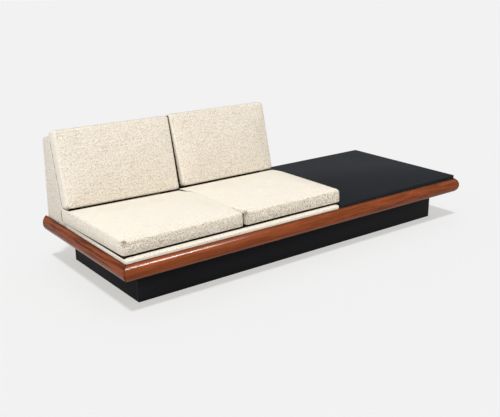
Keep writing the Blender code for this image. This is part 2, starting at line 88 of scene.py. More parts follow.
# Sizes shared with the solids
GAP = 0.0003
RABBET_FLOOR = 0.207
CUSHION_SPLIT = LEFT + 0.637
CUSHION_WIDTH = 0.610
CUSHION_SPACE = 0.003
SEAT_FRONT = FRONT + 0.040
SEAT_DEPTH = 0.592
SEAT_THICK = 0.074
SEAT_REAR = SEAT_FRONT + SEAT_DEPTH - 0.0035
BACK_HEIGHT = 0.372
BACK_THICK = 0.068
BACK_LEAN = math.radians(14.55)
BACK_SLOPE = math.tan(BACK_LEAN)
BACK_FOOT = 0.307
LEAN_POINT_Y = FRONT + 0.6478
LEAN_POINT_Z = 0.3093
WEDGE_ROUND = 0.016
WEDGE_END_ROUND = 0.007
WEDGE_REAR_LEAN = math.radians(2.3)
ZIP_LENGTH = 0.44
ZIP_WIDTH = 0.013
ZIP_PITCH = 0.004
SLIDER_SIZE = (0.011, 0.009, 0.0042)
PULLER_SIZE = (0.024, 0.0055, 0.0014)

# How the loose cushions sit: BACK_DROOP is for a back cushion's two ends, BACK_GAP for its foot and top
BACK_RAISE = {"left": 0.0, "right": 0.008}
BACK_DROOP = {"left": (0.004, -0.0055), "right": (-0.005, -0.005)}
BACK_GROWTH = {"left": 0.0, "right": -0.004}
BACK_GAP = {"left": (-0.005, -0.008), "right": (0.023, 0.004)}
BACK_SHIFT = {"left": 0.0, "right": 0.009}
BACK_MEET = 0.0075
SEAT_SHIFT = {"left": 0.0, "right": 0.004}
SEAT_SPREAD = 0.006
MEETING_PLANE = (CUSHION_WIDTH + CUSHION_SPACE) / 2 - 0.0004
CREASE = 0.010
TROUGH = 0.022
SLIT_DEPTH = 0.050

# Lifts of a cushion's flat side at its left, right, near and far edges, and roundings of flat side and top
SEAT_LIFTS = {"left": (0.002, 0.010, 0.0075, 0.010), "right": (0.010, 0.001, 0.0075, 0.010)}
BACK_LIFTS = (0.010, 0.010, 0.010, 0.010)
LIFT_START = 0.78
SEAT_ROUNDS = (0.006, 0.010)
BACK_ROUNDS = (0.006, 0.007)

# Swelling, seams and gathers of the cushions
CLOTH = {
    "quality": 4,
    "mass": 0.15,
    "tension_stiffness": 30,
    "compression_stiffness": 30,
    "tension_damping": 25,
    "compression_damping": 25,
    "shrink_min": -0.004,
    "use_pressure": True,
}
SWELL_FRAMES = 20
SEAM_HOLD = 0.010
SEAM_WIDTH = 0.0022
GATHER_START, GATHER_REACH, GATHER_HEIGHT = 0.004, 0.012, 0.0006
RAY_COUNT, RAY_REACH, RAY_HEIGHT = 7, 0.011, 0.0013
DIMPLE_REACH, DIMPLE_DEPTH = 0.008, 0.0028
LUMP_HEIGHT = 0.0008

# How much fleck shows in the cloth of each piece, and where the strips of painted shade in gaps and creases
# start
DECK_FLECK = 0.28
WEDGE_FLECK = 0.30
# Painted light and shade in the fleck shares: the seat's low share keeps its top light, more fleck darkens
# seat fronts and ends, less lightens back cushion ends
BACK_FLECK, BACK_END_PAINTED_LIGHT = 0.38, -0.2
SEAT_FLECK_AND_LIGHT, SEAT_FRONT_PAINTED_SHADE, SEAT_END_PAINTED_SHADE = 0.10, 0.46, 0.19
# Painted shade: extra dark fleck in the folds of the left seat's gathered front corner
STAR_PAINTED_SHADE, STAR_REACH, STAR_INSET = 1.8, 0.010, 0.006
GAP_SHADE_SIDE = CUSHION_WIDTH / 2 - 0.002
GAP_SHADE_SEAT_TOP = SEAT_THICK - 0.012
WEDGE_LINE_FOOT = 0.318

# Strength of the wood's figure and depth of its tone at the two ends of each bullnose rail
RAIL_FIGURE = {"front_rail": (0.40, 0.68), "left_rail": (1.1, 1.1), "right_rail": (0.8, 0.8)}
RAIL_TONE = {"front_rail": (0.0, 0.13), "left_rail": (0.0, 0.0), "right_rail": (0.13, 0.13)}
# Dark mitre joints, and painted shade along each rail's lip for the shadow in the gap beside the deck
MITRE_SHADE, MITRE_REACH = 0.5, 0.003
LIP_SHADE, LIP_REACH = 0.85, 0.006
DARKEST_JOINT_AND_SHADE = 0.9

# The photograph's frame and camera, and how far the floor goes each way
PHOTO_WIDTH = 500
FOCAL_PIXELS = 738.8
CAMERA_PLACE = (-2.3795, -2.9563, 1.3954)
CAMERA_AZIMUTH = math.radians(-37.41)
CAMERA_ELEVATION = math.radians(18.01)
CAMERA_ROLL = math.radians(-0.16)
SENSOR_WIDTH = 36.0
FLOOR_REACH = 30


def colour_property(name, description, default):
    """A colour that a user may change."""
    return bpy.props.FloatVectorProperty(
        name=name, description=description, default=default, subtype="COLOR", size=3, min=0.0, max=1.0
    )


def length_property(name, description, default):
    """A length that a user may change."""
    return bpy.props.FloatProperty(
        name=name, description=description, default=default, unit="LENGTH", precision=4, min=0.0
    )


class SofaColours(bpy.types.PropertyGroup):
    """Colours of the finishes."""

    walnut_light: colour_property("Walnut light", "Pale wood between the streaks", (0.265, 0.063, 0.0185))
    walnut_dark: colour_property("Walnut dark", "Dark streaks along the wood", (0.075, 0.017, 0.005))
    # Painted shade as well as dark joints: this colour also darkens the rails' lips
    walnut_joint_and_shade: colour_property("Walnut joint", "Shade along mitres and lips", (0.03, 0.009, 0.004))
    pore: colour_property("Pore", "Pores of every wood", (0.02, 0.010, 0.006))
    plywood_light: colour_property("Plywood light", "Pale wood of hidden boards", (0.560, 0.390, 0.210))
    plywood_dark: colour_property("Plywood dark", "Grain of hidden boards", (0.400, 0.250, 0.120))
    tweed_cream: colour_property("Tweed cream", "Main yarn of the cloth", (0.910, 0.845, 0.735))
    tweed_sand: colour_property("Tweed sand", "Darker slubs in the cloth", (0.560, 0.480, 0.375))
    tweed_fleck: colour_property("Tweed fleck", "Dark flecks in the cloth", (0.235, 0.165, 0.105))
    # Painted shade: a near-black colour for the strips where gaps and creases between cushions fall in
    # shade
    lining: colour_property("Gap shade", "Plain cloth of hidden strips", (0.030, 0.017, 0.008))
    laminate: colour_property("Laminate", "Charcoal table top", (0.0112, 0.0126, 0.0148))
    laminate_scuff: colour_property("Laminate scuff", "Rubs on the table top", (0.036, 0.040, 0.046))
    paint: colour_property("Paint", "Black paint of the plinth", (0.014, 0.0145, 0.016))
    paint_scuff: colour_property("Paint scuff", "Rubs on the plinth", (0.030, 0.031, 0.034))
    steel: colour_property("Steel", "Bolts and nuts", (0.600, 0.600, 0.580))
    steel_dull: colour_property("Steel dull", "Dull patches of the zinc", (0.42, 0.42, 0.40))
    foam: colour_property("Foam", "Foam inside the upholstery", (0.800, 0.700, 0.420))
    foam_cell: colour_property("Foam cell", "Cells of the foam", (0.62, 0.52, 0.28))
    nylon: colour_property("Nylon", "Zips of the cushion covers", (0.560, 0.480, 0.370))
    nylon_rib: colour_property("Nylon rib", "Ribs of the zips", (0.42, 0.35, 0.26))
    floor: colour_property("Floor", "Pale floor and backdrop", (0.888, 0.888, 0.888))
    floor_shown: colour_property("Floor in view", "What takes the shadow", (0.41, 0.41, 0.41))
    floor_glow: colour_property("Floor glow", "What lightens the shadow", (0.5434, 0.5353, 0.5206))
    sky: colour_property("Sky", "Even light from all round", (0.30, 0.30, 0.305))


class SofaSizes(bpy.types.PropertyGroup):
    """Sizes of the forms and of the patterns on them."""

    rail_height: length_property("Rail height", "Height of the whole bullnose ellipse", 0.0872)
    rail_bulge: length_property("Rail bulge", "Depth of the bullnose from its face", 0.037)
    rail_lip: length_property("Rail lip", "Thickness of the rail above its rabbet", 0.0225)
    lip_round: length_property("Lip rounding", "Rounding of the lip's inner edge", 0.002)
    board_ease: length_property("Board ease", "Rounding of the boards' edges", 0.0010)
    table_ease: length_property("Table ease", "Rounding of the table's edges", 0.0009)
    mitre_ease: length_property("Mitre ease", "Rounding of the rails' ends", 0.0016)
    deck_round: length_property("Deck rounding", "Rounding of the seat deck's edges", 0.0120)
    cushion_crown: length_property("Cushion crown", "Rise of a panel before it swells", 0.006)
    cushion_belly: length_property("Cushion belly", "Bulge of a cushion's side strips", 0.0025)
    seam_depth: length_property("Seam depth", "Depth of the sewn seams", 0.0008)
    puff_limit: length_property("Swelling limit", "Most that a point of a cushion may move", 0.022)
    voxel: length_property("Cell", "Cell of the cushions' remesh", 0.0062)
    yarn: length_property("Yarn", "Spacing of the cloth's yarns", 0.0027)
    pressure: bpy.props.FloatProperty(name="Pressure", description="Pressure inside a cushion", default=3.0)


def colour_of(name):
    """A colour from the scene's properties, with full opacity."""
    return (*getattr(bpy.context.scene.sofa_colours, name), 1.0)


def size_of(name):
    """A size from the scene's properties."""
    return getattr(bpy.context.scene.sofa_sizes, name)


# Mesh helpers


def read_points(mesh, what="co"):
    """A mesh's vertex places or normals as an array of rows."""
    values = np.empty(len(mesh.vertices) * 3, np.float32)
    mesh.vertices.foreach_get(what, values)
    return values.reshape(-1, 3).astype(float)


def write_points(mesh, points):
    """Moves a mesh's vertices to an array of places."""
    mesh.vertices.foreach_set("co", np.asarray(points, np.float32).ravel())
    mesh.update()


def write_attribute(mesh, name, values):
    """Stores a number, or a row of three, on each of a mesh's vertices for its material."""
    values = np.asarray(values, np.float32).ravel()
    plain = len(values) == len(mesh.vertices)
    made = mesh.attributes.new(name, "FLOAT" if plain else "FLOAT_VECTOR", "POINT")
    made.data.foreach_set("value" if plain else "vector", values)


def loft_mesh(name, rings):
    """A closed mesh through rings of points: quads from ring to ring, and a flat cap at each end.

    rings has one row of points for each ring, and each ring is a closed loop.
    """
    count, around = rings.shape[:2]
    index = np.arange(count * around).reshape(count, around)
    ahead = np.roll(index, -1, axis=1)
    quads = np.stack([index[:-1], ahead[:-1], ahead[1:], index[1:]], axis=-1).reshape(-1, 4)
    faces = quads.tolist() + [index[0][::-1].tolist(), index[-1].tolist()]
    mesh = bpy.data.meshes.new(name)
    mesh.from_pydata(rings.reshape(-1, 3).tolist(), [], faces)
    bm = bmesh.new()
    bm.from_mesh(mesh)
    bm.normal_update()
    bmesh.ops.recalc_face_normals(bm, faces=bm.faces)
    bm.to_mesh(mesh)
    bm.free()
    return mesh


def joined_mesh(name, parts):
    """One mesh of several."""
    bm = bmesh.new()
    for part in parts:
        bm.from_mesh(part)
    mesh = bpy.data.meshes.new(name)
    bm.to_mesh(mesh)
    bm.free()
    return mesh


def smooth(mesh, sharp):
    """Smooths a mesh's shading, apart from edges that turn by more than an angle in degrees."""
    mesh.shade_smooth()
    mesh.set_sharp_from_angle(angle=math.radians(sharp))


def add_piece(name, mesh, finish):
    """An object for a finished mesh, at the origin, with its material."""
    mesh.materials.clear()
    mesh.materials.append(finish)
    obj = bpy.data.objects.new(name, mesh)
    bpy.context.scene.collection.objects.link(obj)
    return obj


def settle(obj):
    """Applies an object's modifiers to its mesh."""
    view = bpy.context.evaluated_depsgraph_get()
    mesh = bpy.data.meshes.new_from_object(obj.evaluated_get(view))
    obj.modifiers.clear()
    obj.data = mesh
    return mesh


def round_edges(obj, width):
    """Rounds an object's sharp edges and smooths its shading."""
    bevel = obj.modifiers.new("round_edges", "BEVEL")
    bevel.width = width
    bevel.segments = 3
    bevel.limit_method = "ANGLE"
    bevel.harden_normals = True
    smooth(settle(obj), 40)


def hand_over(obj, body, slot, *nodes):
    """Ties a piece to the body it moves with and hides the solids it stands for; the slot is not used."""
    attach(obj, body)
    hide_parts(*nodes)


# Shapes


def eased(value):
    """A value held between 0 and 1, with a smooth start and end."""
    held = np.clip(value, 0, 1)
    return held * held * (3 - 2 * held)


def bell(distance, width):
    """A bell curve of a distance: 1 at 0, and 1/e at the width."""
    return np.exp(-((distance / width) ** 2))


def square_walk(steps):
    """Points round a square of half side 1, from the middle of its +X side.

    Each coordinate is a triangle wave of twice the square's size, cut off at 1 and -1. y lags x by a side.
    """
    walk = np.linspace(0.0, 4.0, steps, endpoint=False)
    x = np.clip(2 * np.abs(walk - 2) - 2, -1, 1)
    y = np.clip(2 * np.abs((walk - 1) % 4 - 2) - 2, -1, 1)
    return np.stack([x, y], axis=-1)


def rounded_box_rings(size, flat_round, top_round, around, along):
    """Rings over a box with rounded edges, about the middle of its flat side.

    A ring is the plan square times a share that grows from the middle of the flat side, stays 1 up the
    sides and shrinks again on top. Each point then moves to the ball of the rounding about the nearest
    point of the box's core. The rounding goes from the flat side's to the top's with the height.
    """
    half = np.array(size) / 2
    walk = np.linspace(0.02, 2.98, along)
    share = np.clip(1.5 - np.abs(walk - 1.5), 0, 1)
    rise = np.clip(walk - 1, 0, 1) * 2 - 1
    points = np.empty((along, around, 3))
    points[..., :2] = share[:, None, None] * square_walk(around)[None] * half[:2]
    points[..., 2] = (rise * half[2])[:, None]
    rounding = (flat_round + (top_round - flat_round) * (rise + 1) / 2)[:, None, None]
    core = np.clip(points, rounding - half, half - rounding)
    spoke = points - core
    length = np.linalg.norm(spoke, axis=-1, keepdims=True)
    points = core + spoke * (rounding / np.maximum(length, rounding * 0.5))
    points[..., 2] += half[2]
    return points


def board_mesh(name, low, high):
    """A plain board between two corners, as two rings of four points."""
    rings = np.empty((2, 4, 3))
    rings[..., :2] = [(low[0], low[1]), (high[0], low[1]), (high[0], high[1]), (low[0], high[1])]
    rings[0, :, 2] = low[2]
    rings[1, :, 2] = high[2]
    return loft_mesh(name, rings)


def inset_outline(outline, distance):
    """A closed outline moved inwards: each corner along the sum of its two sides' inward normals."""
    following = np.roll(outline, -1, axis=0)
    ahead = following - outline
    ahead /= np.linalg.norm(ahead, axis=1, keepdims=True)
    after = np.stack([-ahead[:, 1], ahead[:, 0]], axis=-1)
    before = np.roll(after, 1, axis=0)
    lean = 1 + np.sum(after * before, axis=1, keepdims=True)
    turn = np.sign(np.sum(outline[:, 0] * following[:, 1] - following[:, 0] * outline[:, 1]))
    return outline + turn * distance * (after + before) / np.maximum(lean, 0.2)


def end_rounding(distance, rounding):
    """Inset of a piece's outline at a distance from its end: a quarter circle of the rounding."""
    left = np.clip(rounding - distance, 0, rounding)
    return rounding - np.sqrt(rounding**2 - left**2)


def end_stations(length, rounding, middle_steps):
    """Places along a piece, close together in the rounding at both ends."""
    curve = rounding * (1 - np.cos(np.linspace(0, math.pi / 2, 7)))
    near = np.append(curve, rounding * np.array([2, 3.5, 6, 10]))
    middle = np.linspace(near[-1], length - near[-1], middle_steps)
    return np.concatenate([near[:-1], middle, length - near[-2::-1]])


def swept_rings(outline, length, rounding, middle_steps):
    """Rings of an outline carried along a length, as (along, outline), with both ends rounded."""
    stations = end_stations(length, rounding, middle_steps)
    insets = end_rounding(np.minimum(stations, length - stations), rounding)
    rings = np.empty((len(stations), len(outline), 3))
    for ring, station, inset in zip(rings, stations, insets):
        ring[:, 0] = station
        ring[:, 1:] = inset_outline(outline, inset)
    return rings


def rail_profile():
    """The rail's outline as (depth from the outer face, height) points.

    The outer face is half an ellipse, from the lip at the top to the flat underside. Behind the lip the
    rabbet drops to its floor.
    """
    height, bulge = size_of("rail_height"), size_of("rail_bulge")
    lip, lip_round = size_of("rail_lip"), size_of("lip_round")
    lip_angle = math.acos(1 - (lip - lip_round) / bulge)
    angle = np.linspace(lip_angle, -math.pi / 2, 56)
    face = np.stack([bulge * (1 - np.cos(angle)), RAIL_BOTTOM + height / 2 * (1 + np.sin(angle))], axis=-1)
    behind = [(RAIL_STOCK, RAIL_BOTTOM), (RAIL_STOCK, RABBET_FLOOR), (lip, RABBET_FLOOR)]
    behind.append((lip, face[0, 1] - lip_round / 2))
    return np.vstack([face, behind])


def rail_rings(length, start_mitre, end_mitre):
    """Rings of a rail as (along, depth, height): its profile carried from end to end.

    A mitred end slopes back at 45 degrees, along = depth.
    """
    rings = swept_rings(rail_profile(), length, size_of("mitre_ease"), 60)
    share = rings[..., 0] / length
    slope = start_mitre * (1 - share) - end_mitre * share
    rings[..., 0] += slope * (rings[..., 1] + GAP)
    return rings


def zip_rings():
    """Rings along a closed zip, about its middle: a thin tape with a ribbed coil down its length.

    Across the tape the coil is a bell curve. Along it the bell's height waves once for each pitch.
    """
    along = np.linspace(-ZIP_LENGTH / 2, ZIP_LENGTH / 2, int(6 * ZIP_LENGTH / ZIP_PITCH) + 1)
    across = np.linspace(-ZIP_WIDTH / 2, ZIP_WIDTH / 2, 13)
    tape_top, tape_bottom, coil_width = 0.0007, -0.0006, 0.0024
    wave = 0.0012 + 0.0005 * np.cos(2 * math.pi * along / ZIP_PITCH)
    rings = np.empty((len(along), len(across) + 2, 3))
    rings[..., 0] = along[:, None]
    rings[:, :-2, 1] = across
    rings[:, :-2, 2] = tape_top + wave[:, None] * bell(across, coil_width)
    rings[:, -2:, 1] = across[[-1, 0]]
    rings[:, -2:, 2] = tape_bottom
    return rings


def lean_y(height):
    """Where the back rest's leaning face is at a height."""
    return LEAN_POINT_Y + (height - LEAN_POINT_Z) * BACK_SLOPE


def wedge_outline():
    """The back rest's outline in (y, z): a wedge whose two top corners are rounded by arcs."""
    height = WEDGE_HIGH.z - WEDGE_LOW.z
    front_top = Vector((lean_y(WEDGE_HIGH.z), WEDGE_HIGH.z))
    front_bottom = Vector((lean_y(WEDGE_LOW.z), WEDGE_LOW.z))
    rear_bottom = Vector((WEDGE_HIGH.y, WEDGE_LOW.z))
    rear_top = Vector((WEDGE_HIGH.y - height * math.tan(WEDGE_REAR_LEAN), WEDGE_HIGH.z))
    points = [tuple(rear_bottom), tuple(front_bottom)]
    for before, corner, after in ((front_bottom, front_top, rear_top), (front_top, rear_top, rear_bottom)):
        towards = (before - corner).normalized()
        away = (after - corner).normalized()
        reach = WEDGE_ROUND / math.tan(towards.angle(away) / 2)
        first, last = corner + towards * reach, corner + away * reach
        for t in np.linspace(0, 1, 9):
            points.append(tuple(first * (1 - t) ** 2 + corner * (2 * t * (1 - t)) + last * t**2))
    return np.array(points)


def resample(outline, spacing):
    """A closed outline with points added along its long sides, at an even spacing."""
    pieces = []
    for start, end in zip(outline, np.roll(outline, -1, axis=0)):
        count = max(1, int(np.linalg.norm(end - start) / spacing))
        share = np.arange(count)[:, None] / count
        pieces.append(start * (1 - share) + end * share)
    return np.vstack(pieces)


# Cushions


def seam_place(points, size, rounding, top):
    """Distance of points from a cushion's top or bottom seam, along its surface, positive on the panel.

    The seam runs at the middle of the rounding. With outside as the way out of the core in plan, and above
    as the way over it, the distance is the rounding times their angle past 45 degrees, plus the way over
    the flat parts.
    """
    half = np.array(size[:2]) / 2 - rounding
    beyond = np.abs(points[:, :2]) - half
    outside = np.linalg.norm(np.maximum(beyond, 0), axis=1) + np.minimum(beyond.max(axis=1), 0)
    above = points[:, 2] - (size[2] - rounding) if top else rounding - points[:, 2]
    angle = np.arctan2(np.maximum(above, 0), np.maximum(outside, 1e-6))
    inward = np.minimum(outside, 0)
    return rounding * (angle - math.pi / 4) + np.where(above > 0, -inward, above + inward)


def seam_places(points, size, rounds):
    """Distances of points from a cushion's flat-side seam and from its top seam."""
    return seam_place(points, size, rounds[0], False), seam_place(points, size, rounds[1], True)


def cushion_form(name, size, rounds):
    """A boxed cushion before it swells, remeshed into even cells.

    Its upper panel already rises a little, by the crown times (1 - u^2)(1 - v^2).
    """
    rings = rounded_box_rings(size, *rounds, 240, 90)
    share = np.clip(1 - (2 * rings[..., :2] / np.array(size[:2])) ** 2, 0, 1).prod(axis=-1)
    rings[..., 2] += size_of("cushion_crown") * share * (rings[..., 2] > size[2] / 2)
    obj = add_piece(name + "_form", loft_mesh(name, rings), finish_of("oatmeal_tweed"))
    remesh = obj.modifiers.new("cells", "REMESH")
    remesh.mode = "VOXEL"
    remesh.voxel_size = size_of("voxel")
    settle(obj)
    return obj


def swell(obj, size, rounds):
    """Lets a closed form swell as cloth under pressure, with its seams held, and caps how far it moves."""
    rest = read_points(obj.data)
    hold = bell(np.abs(seam_places(rest, size, rounds)).min(axis=0), SEAM_HOLD)
    group = obj.vertex_groups.new(name="seams")
    for level in np.linspace(0.1, 1.0, 10):
        chosen = np.flatnonzero(np.abs(hold - level) <= 0.05)
        group.add(chosen.tolist(), float(level), "REPLACE")
    cloth = obj.modifiers.new("cloth", "CLOTH")
    for setting, value in CLOTH.items():
        setattr(cloth.settings, setting, value)
    cloth.settings.uniform_pressure_force = size_of("pressure")
    cloth.settings.effector_weights.gravity = 0
    cloth.settings.vertex_group_mass = group.name
    cloth.point_cache.frame_start = 1
    cloth.point_cache.frame_end = SWELL_FRAMES
    for number in range(1, SWELL_FRAMES + 1):
        bpy.context.scene.frame_set(number)
    moved = read_points(settle(obj))
    bpy.context.scene.frame_set(1)
    step = moved - rest
    length = np.maximum(np.linalg.norm(step, axis=1, keepdims=True), 1e-9)
    limit = size_of("puff_limit")
    return rest + step * (limit * np.tanh(length / limit) / length)


def ripple(places, count, low, high, draws):
    """An uneven wave along a line: a sum of sines with drawn lengths and phases, about 1 high."""
    lengths = draws.uniform(low, high, count)
    phases = draws.uniform(0, 2 * math.pi, count)
    return np.sin(2 * math.pi * places[:, None] / lengths + phases).sum(axis=1) / math.sqrt(count)


def corner_rays(rest, size, inset, corner, draws):
    """Rays and a dimple round one corner of a cushion; corner is its side in X, Y and Z, each -1 or 1."""
    side_x, side_y, facing = corner
    height = size[2] - inset if facing > 0 else inset
    spoke = rest - np.array([side_x * (size[0] / 2 - inset), side_y * (size[1] / 2 - inset), height])
    reach = np.linalg.norm(spoke, axis=1)
    out = np.array(corner) / math.sqrt(3)
    across = np.cross(out, (0, 0, 1.0))
    across /= np.linalg.norm(across)
    turn = np.arctan2(spoke @ np.cross(across, out), spoke @ across)
    waves = np.sin(RAY_COUNT * turn + draws.uniform(0, 6))
    rays = waves * (reach / RAY_REACH) * np.exp(1 - reach / RAY_REACH)
    strength = draws.uniform(0.5, 1.0) + 1.6 * (corner == (-1, -1, 1))
    return strength * (RAY_HEIGHT * rays - DIMPLE_DEPTH * bell(reach, DIMPLE_REACH))


def sew(points, rest, normals, size, rounds, draws):
    """Sinks the seams into a cushion and puckers the cloth along them and round its corners.

    A seam is a groove with a bell-shaped section. Beside it the cloth ripples along the edge, dying away
    over a few centimetres. Round each corner the ripple runs in rays, with a small dimple in the middle.
    """
    move = np.zeros(len(points))
    run = rest[:, 0] + rest[:, 1]
    for off in seam_places(rest, size, rounds):
        move -= size_of("seam_depth") * bell(off, SEAM_WIDTH)
        gather = np.exp(-np.abs(off) / GATHER_REACH) * (1 - bell(off, GATHER_START))
        move += GATHER_HEIGHT * gather * ripple(run, 5, 0.022, 0.060, draws)
    for corner in itertools.product((-1, 1), (-1, 1), (1, -1)):
        move += corner_rays(rest, size, rounds[1] * 0.35, corner, draws)
    level = 1 - np.abs(2 * rest[:, 2] / size[2] - 1)
    move += size_of("cushion_belly") * np.clip(level, 0, 1) * (1 - np.abs(normals[:, 2]))
    lumps = ripple(rest[:, 0], 3, 0.16, 0.34, draws) * ripple(rest[:, 1], 3, 0.16, 0.34, draws)
    inner = np.clip(1 - np.abs(rest[:, :2] / (np.array(size[:2]) / 2)).max(axis=1) ** 4, 0, 1)
    move += LUMP_HEIGHT * lumps * inner
    return points + normals * move[:, None]


def weave_map(mesh, axes):
    """Lays the cloth's own map on a mesh in metres: each face takes the two axes that it faces least.

    axes holds the piece's across, up and out directions as rows, so the yarns follow a leaning cushion.
    """
    points = read_points(mesh) @ np.array(axes).T
    normals = np.empty(len(mesh.polygons) * 3, np.float32)
    mesh.polygons.foreach_get("normal", normals)
    totals = np.empty(len(mesh.polygons), np.int32)
    mesh.polygons.foreach_get("loop_total", totals)
    corner = np.empty(len(mesh.loops), np.int32)
    mesh.loops.foreach_get("vertex_index", corner)
    facing = np.abs(normals.reshape(-1, 3) @ np.array(axes).T).argmax(axis=1)
    facing = np.repeat(facing, totals)
    first = np.choose(facing, (1, 0, 0))
    second = np.choose(facing, (2, 2, 1))
    shift = np.choose(facing, (0.37, 0.11, 0.0))
    uv = np.stack([points[corner, first] + shift, points[corner, second] + shift], axis=-1)
    mesh.uv_layers.new(name="weave").data.foreach_set("uv", uv.astype(np.float32).ravel())


def cushion_middle(sign):
    """The middle of the left (-1) or right (1) cushions along X."""
    return CUSHION_SPLIT + sign * (CUSHION_WIDTH + CUSHION_SPACE) / 2


def back_axes():
    """The leaning back cushions' across, up and out directions as rows."""
    up = (0.0, math.sin(BACK_LEAN), math.cos(BACK_LEAN))
    out = (0.0, -math.cos(BACK_LEAN), math.sin(BACK_LEAN))
    return np.array([(1.0, 0.0, 0.0), up, out])


def back_foot_y():
    """Where the back cushions' rear faces start, just off the back rest."""
    return lean_y(BACK_FOOT) - 2 * GAP / math.cos(BACK_LEAN)


def back_droop(rest, side):
    """How much higher a back cushion's foot is along its width, from end to end."""
    return np.interp(rest[:, 0] / CUSHION_WIDTH, (-0.5, 0.5), BACK_DROOP[side])


def soft_cushion(name, size, rounds, lifts, draws):
    """A sewn cushion about the middle of its flat side: form, swelling, finer mesh and seams.

    Its flat side lifts a little towards its left, right, near and far edges. The results are the mesh, its
    points, where they were before the swelling, and their heights above the flat side.
    """
    obj = cushion_form(name, size, rounds)
    rest = read_points(obj.data)
    write_points(obj.data, swell(obj, size, rounds))
    write_attribute(obj.data, "rest_place", rest)
    finer = obj.modifiers.new("finer", "SUBSURF")
    finer.levels = 1
    finer.render_levels = 1
    mesh = settle(obj)
    bpy.data.objects.remove(obj)
    places = np.empty(len(mesh.vertices) * 3, np.float32)
    mesh.attributes["rest_place"].data.foreach_get("vector", places)
    mesh.attributes.remove(mesh.attributes["rest_place"])
    rest = places.reshape(-1, 3).astype(float)
    points = sew(read_points(mesh), rest, read_points(mesh, "normal"), size, rounds, draws)
    place = 2 * rest[:, :2] / np.array(size[:2])
    edges = np.stack([-place[:, 0], place[:, 0], -place[:, 1], place[:, 1]], axis=-1)
    flat = (np.array(lifts) * eased((edges - LIFT_START) / (1 - LIFT_START))).max(axis=1)
    points[:, 2] = np.maximum(points[:, 2], flat)
    return mesh, points, rest, points[:, 2] - flat


def finish_cloth(name, mesh, axes, fleck, lining, body, *nodes):
    """Lays the cloth on a placed mesh, with its share of flecks and painted shade and light, and its strips
    of painted gap shade, and hands it over.
    """
    write_attribute(mesh, "fleck", np.broadcast_to(fleck, len(mesh.vertices)))
    write_attribute(mesh, "lining", lining)
    weave_map(mesh, axes)
    obj = add_piece(name, mesh, finish_of("oatmeal_tweed"))
    hand_over(obj, body, "oatmeal_tweed", *nodes)
    return obj


def finish_cushion(name, mesh, axes, fleck, lining):
    """Lays the cloth on a cushion, which is a body of its own, and hands the cushion over."""
    mesh.shade_smooth()
    obj = finish_cloth(name + "_cushion", mesh, axes, fleck, lining, name, name + "_cover", name + "_core")


# Node helpers

VECTOR, FLOAT, COLOUR = "NodeSocketVector", "NodeSocketFloat", "NodeSocketColor"


def add_node(tree, kind, inputs=None, **settings):
    """A node with its settings, and its inputs joined to sockets or set to values."""
    made = tree.nodes.new(kind)
    for name, value in settings.items():
        setattr(made, name, value)
    for key, value in (inputs or {}).items():
        if isinstance(value, bpy.types.NodeSocket):
            tree.links.new(value, made.inputs[key])
        else:
            made.inputs[key].default_value = value
    return made


def maths(tree, operation, first, second=0.0):
    """The result of an operation on two values."""
    return add_node(tree, "ShaderNodeMath", {0: first, 1: second}, operation=operation).outputs[0]


def times(tree, first, second):
    """The product of two values."""
    return maths(tree, "MULTIPLY", first, second)


def plus(tree, first, second):
    """The sum of two values."""
    return maths(tree, "ADD", first, second)


def mixed(tree, share, first, second):
    """A mix of two colours."""
    inputs = {0: share, 6: first, 7: second}
    return add_node(tree, "ShaderNodeMix", inputs, data_type="RGBA").outputs[2]


def noise(tree, vector, scale, detail=2.0, roughness=0.5):
    """Noise from 0 to 1 at a vector."""
    inputs = {"Vector": vector, "Scale": scale, "Detail": detail, "Roughness": roughness}
    return add_node(tree, "ShaderNodeTexNoise", inputs).outputs[0]


def streaked(tree, vector, scale, detail=2.0, roughness=0.5):
    """Noise from 0 to 1 with its own scale along each axis."""
    stretched = add_node(tree, "ShaderNodeMapping", {"Vector": vector, "Scale": scale}).outputs[0]
    return noise(tree, stretched, 1.0, detail, roughness)


def ramp(tree, value, low, high, to_low=0.0, to_high=1.0):
    """A value carried smoothly from one range to another, and held at its ends."""
    inputs = {0: value, 1: low, 2: high, 3: to_low, 4: to_high}
    return add_node(tree, "ShaderNodeMapRange", inputs, interpolation_type="SMOOTHSTEP").outputs[0]


def white_noise(tree, dimensions, key, value):
    """A value from 0 to 1 that jumps from cell to cell."""
    made = add_node(tree, "ShaderNodeTexWhiteNoise", {key: value}, noise_dimensions=dimensions)
    return made.outputs["Value"]


def hump(tree, value):
    """A rounded hump over each whole step of a value."""
    return maths(tree, "SINE", times(tree, maths(tree, "FRACT", value), math.pi))


def attribute(tree, name, output="Fac"):
    """A value that a piece holds on its vertices."""
    return add_node(tree, "ShaderNodeAttribute", attribute_name=name).outputs[output]


def object_place(tree):
    """The place on the object, in metres."""
    return add_node(tree, "ShaderNodeTexCoord").outputs["Object"]


def new_group(name, inputs, outputs):
    """A node group with named sockets, and its input and output nodes."""
    tree = bpy.data.node_groups.new(name, "ShaderNodeTree")
    for label, kind in inputs:
        tree.interface.new_socket(label, in_out="INPUT", socket_type=kind)
    for label, kind in outputs:
        tree.interface.new_socket(label, in_out="OUTPUT", socket_type=kind)
    return tree, tree.nodes.new("NodeGroupInput"), tree.nodes.new("NodeGroupOutput")


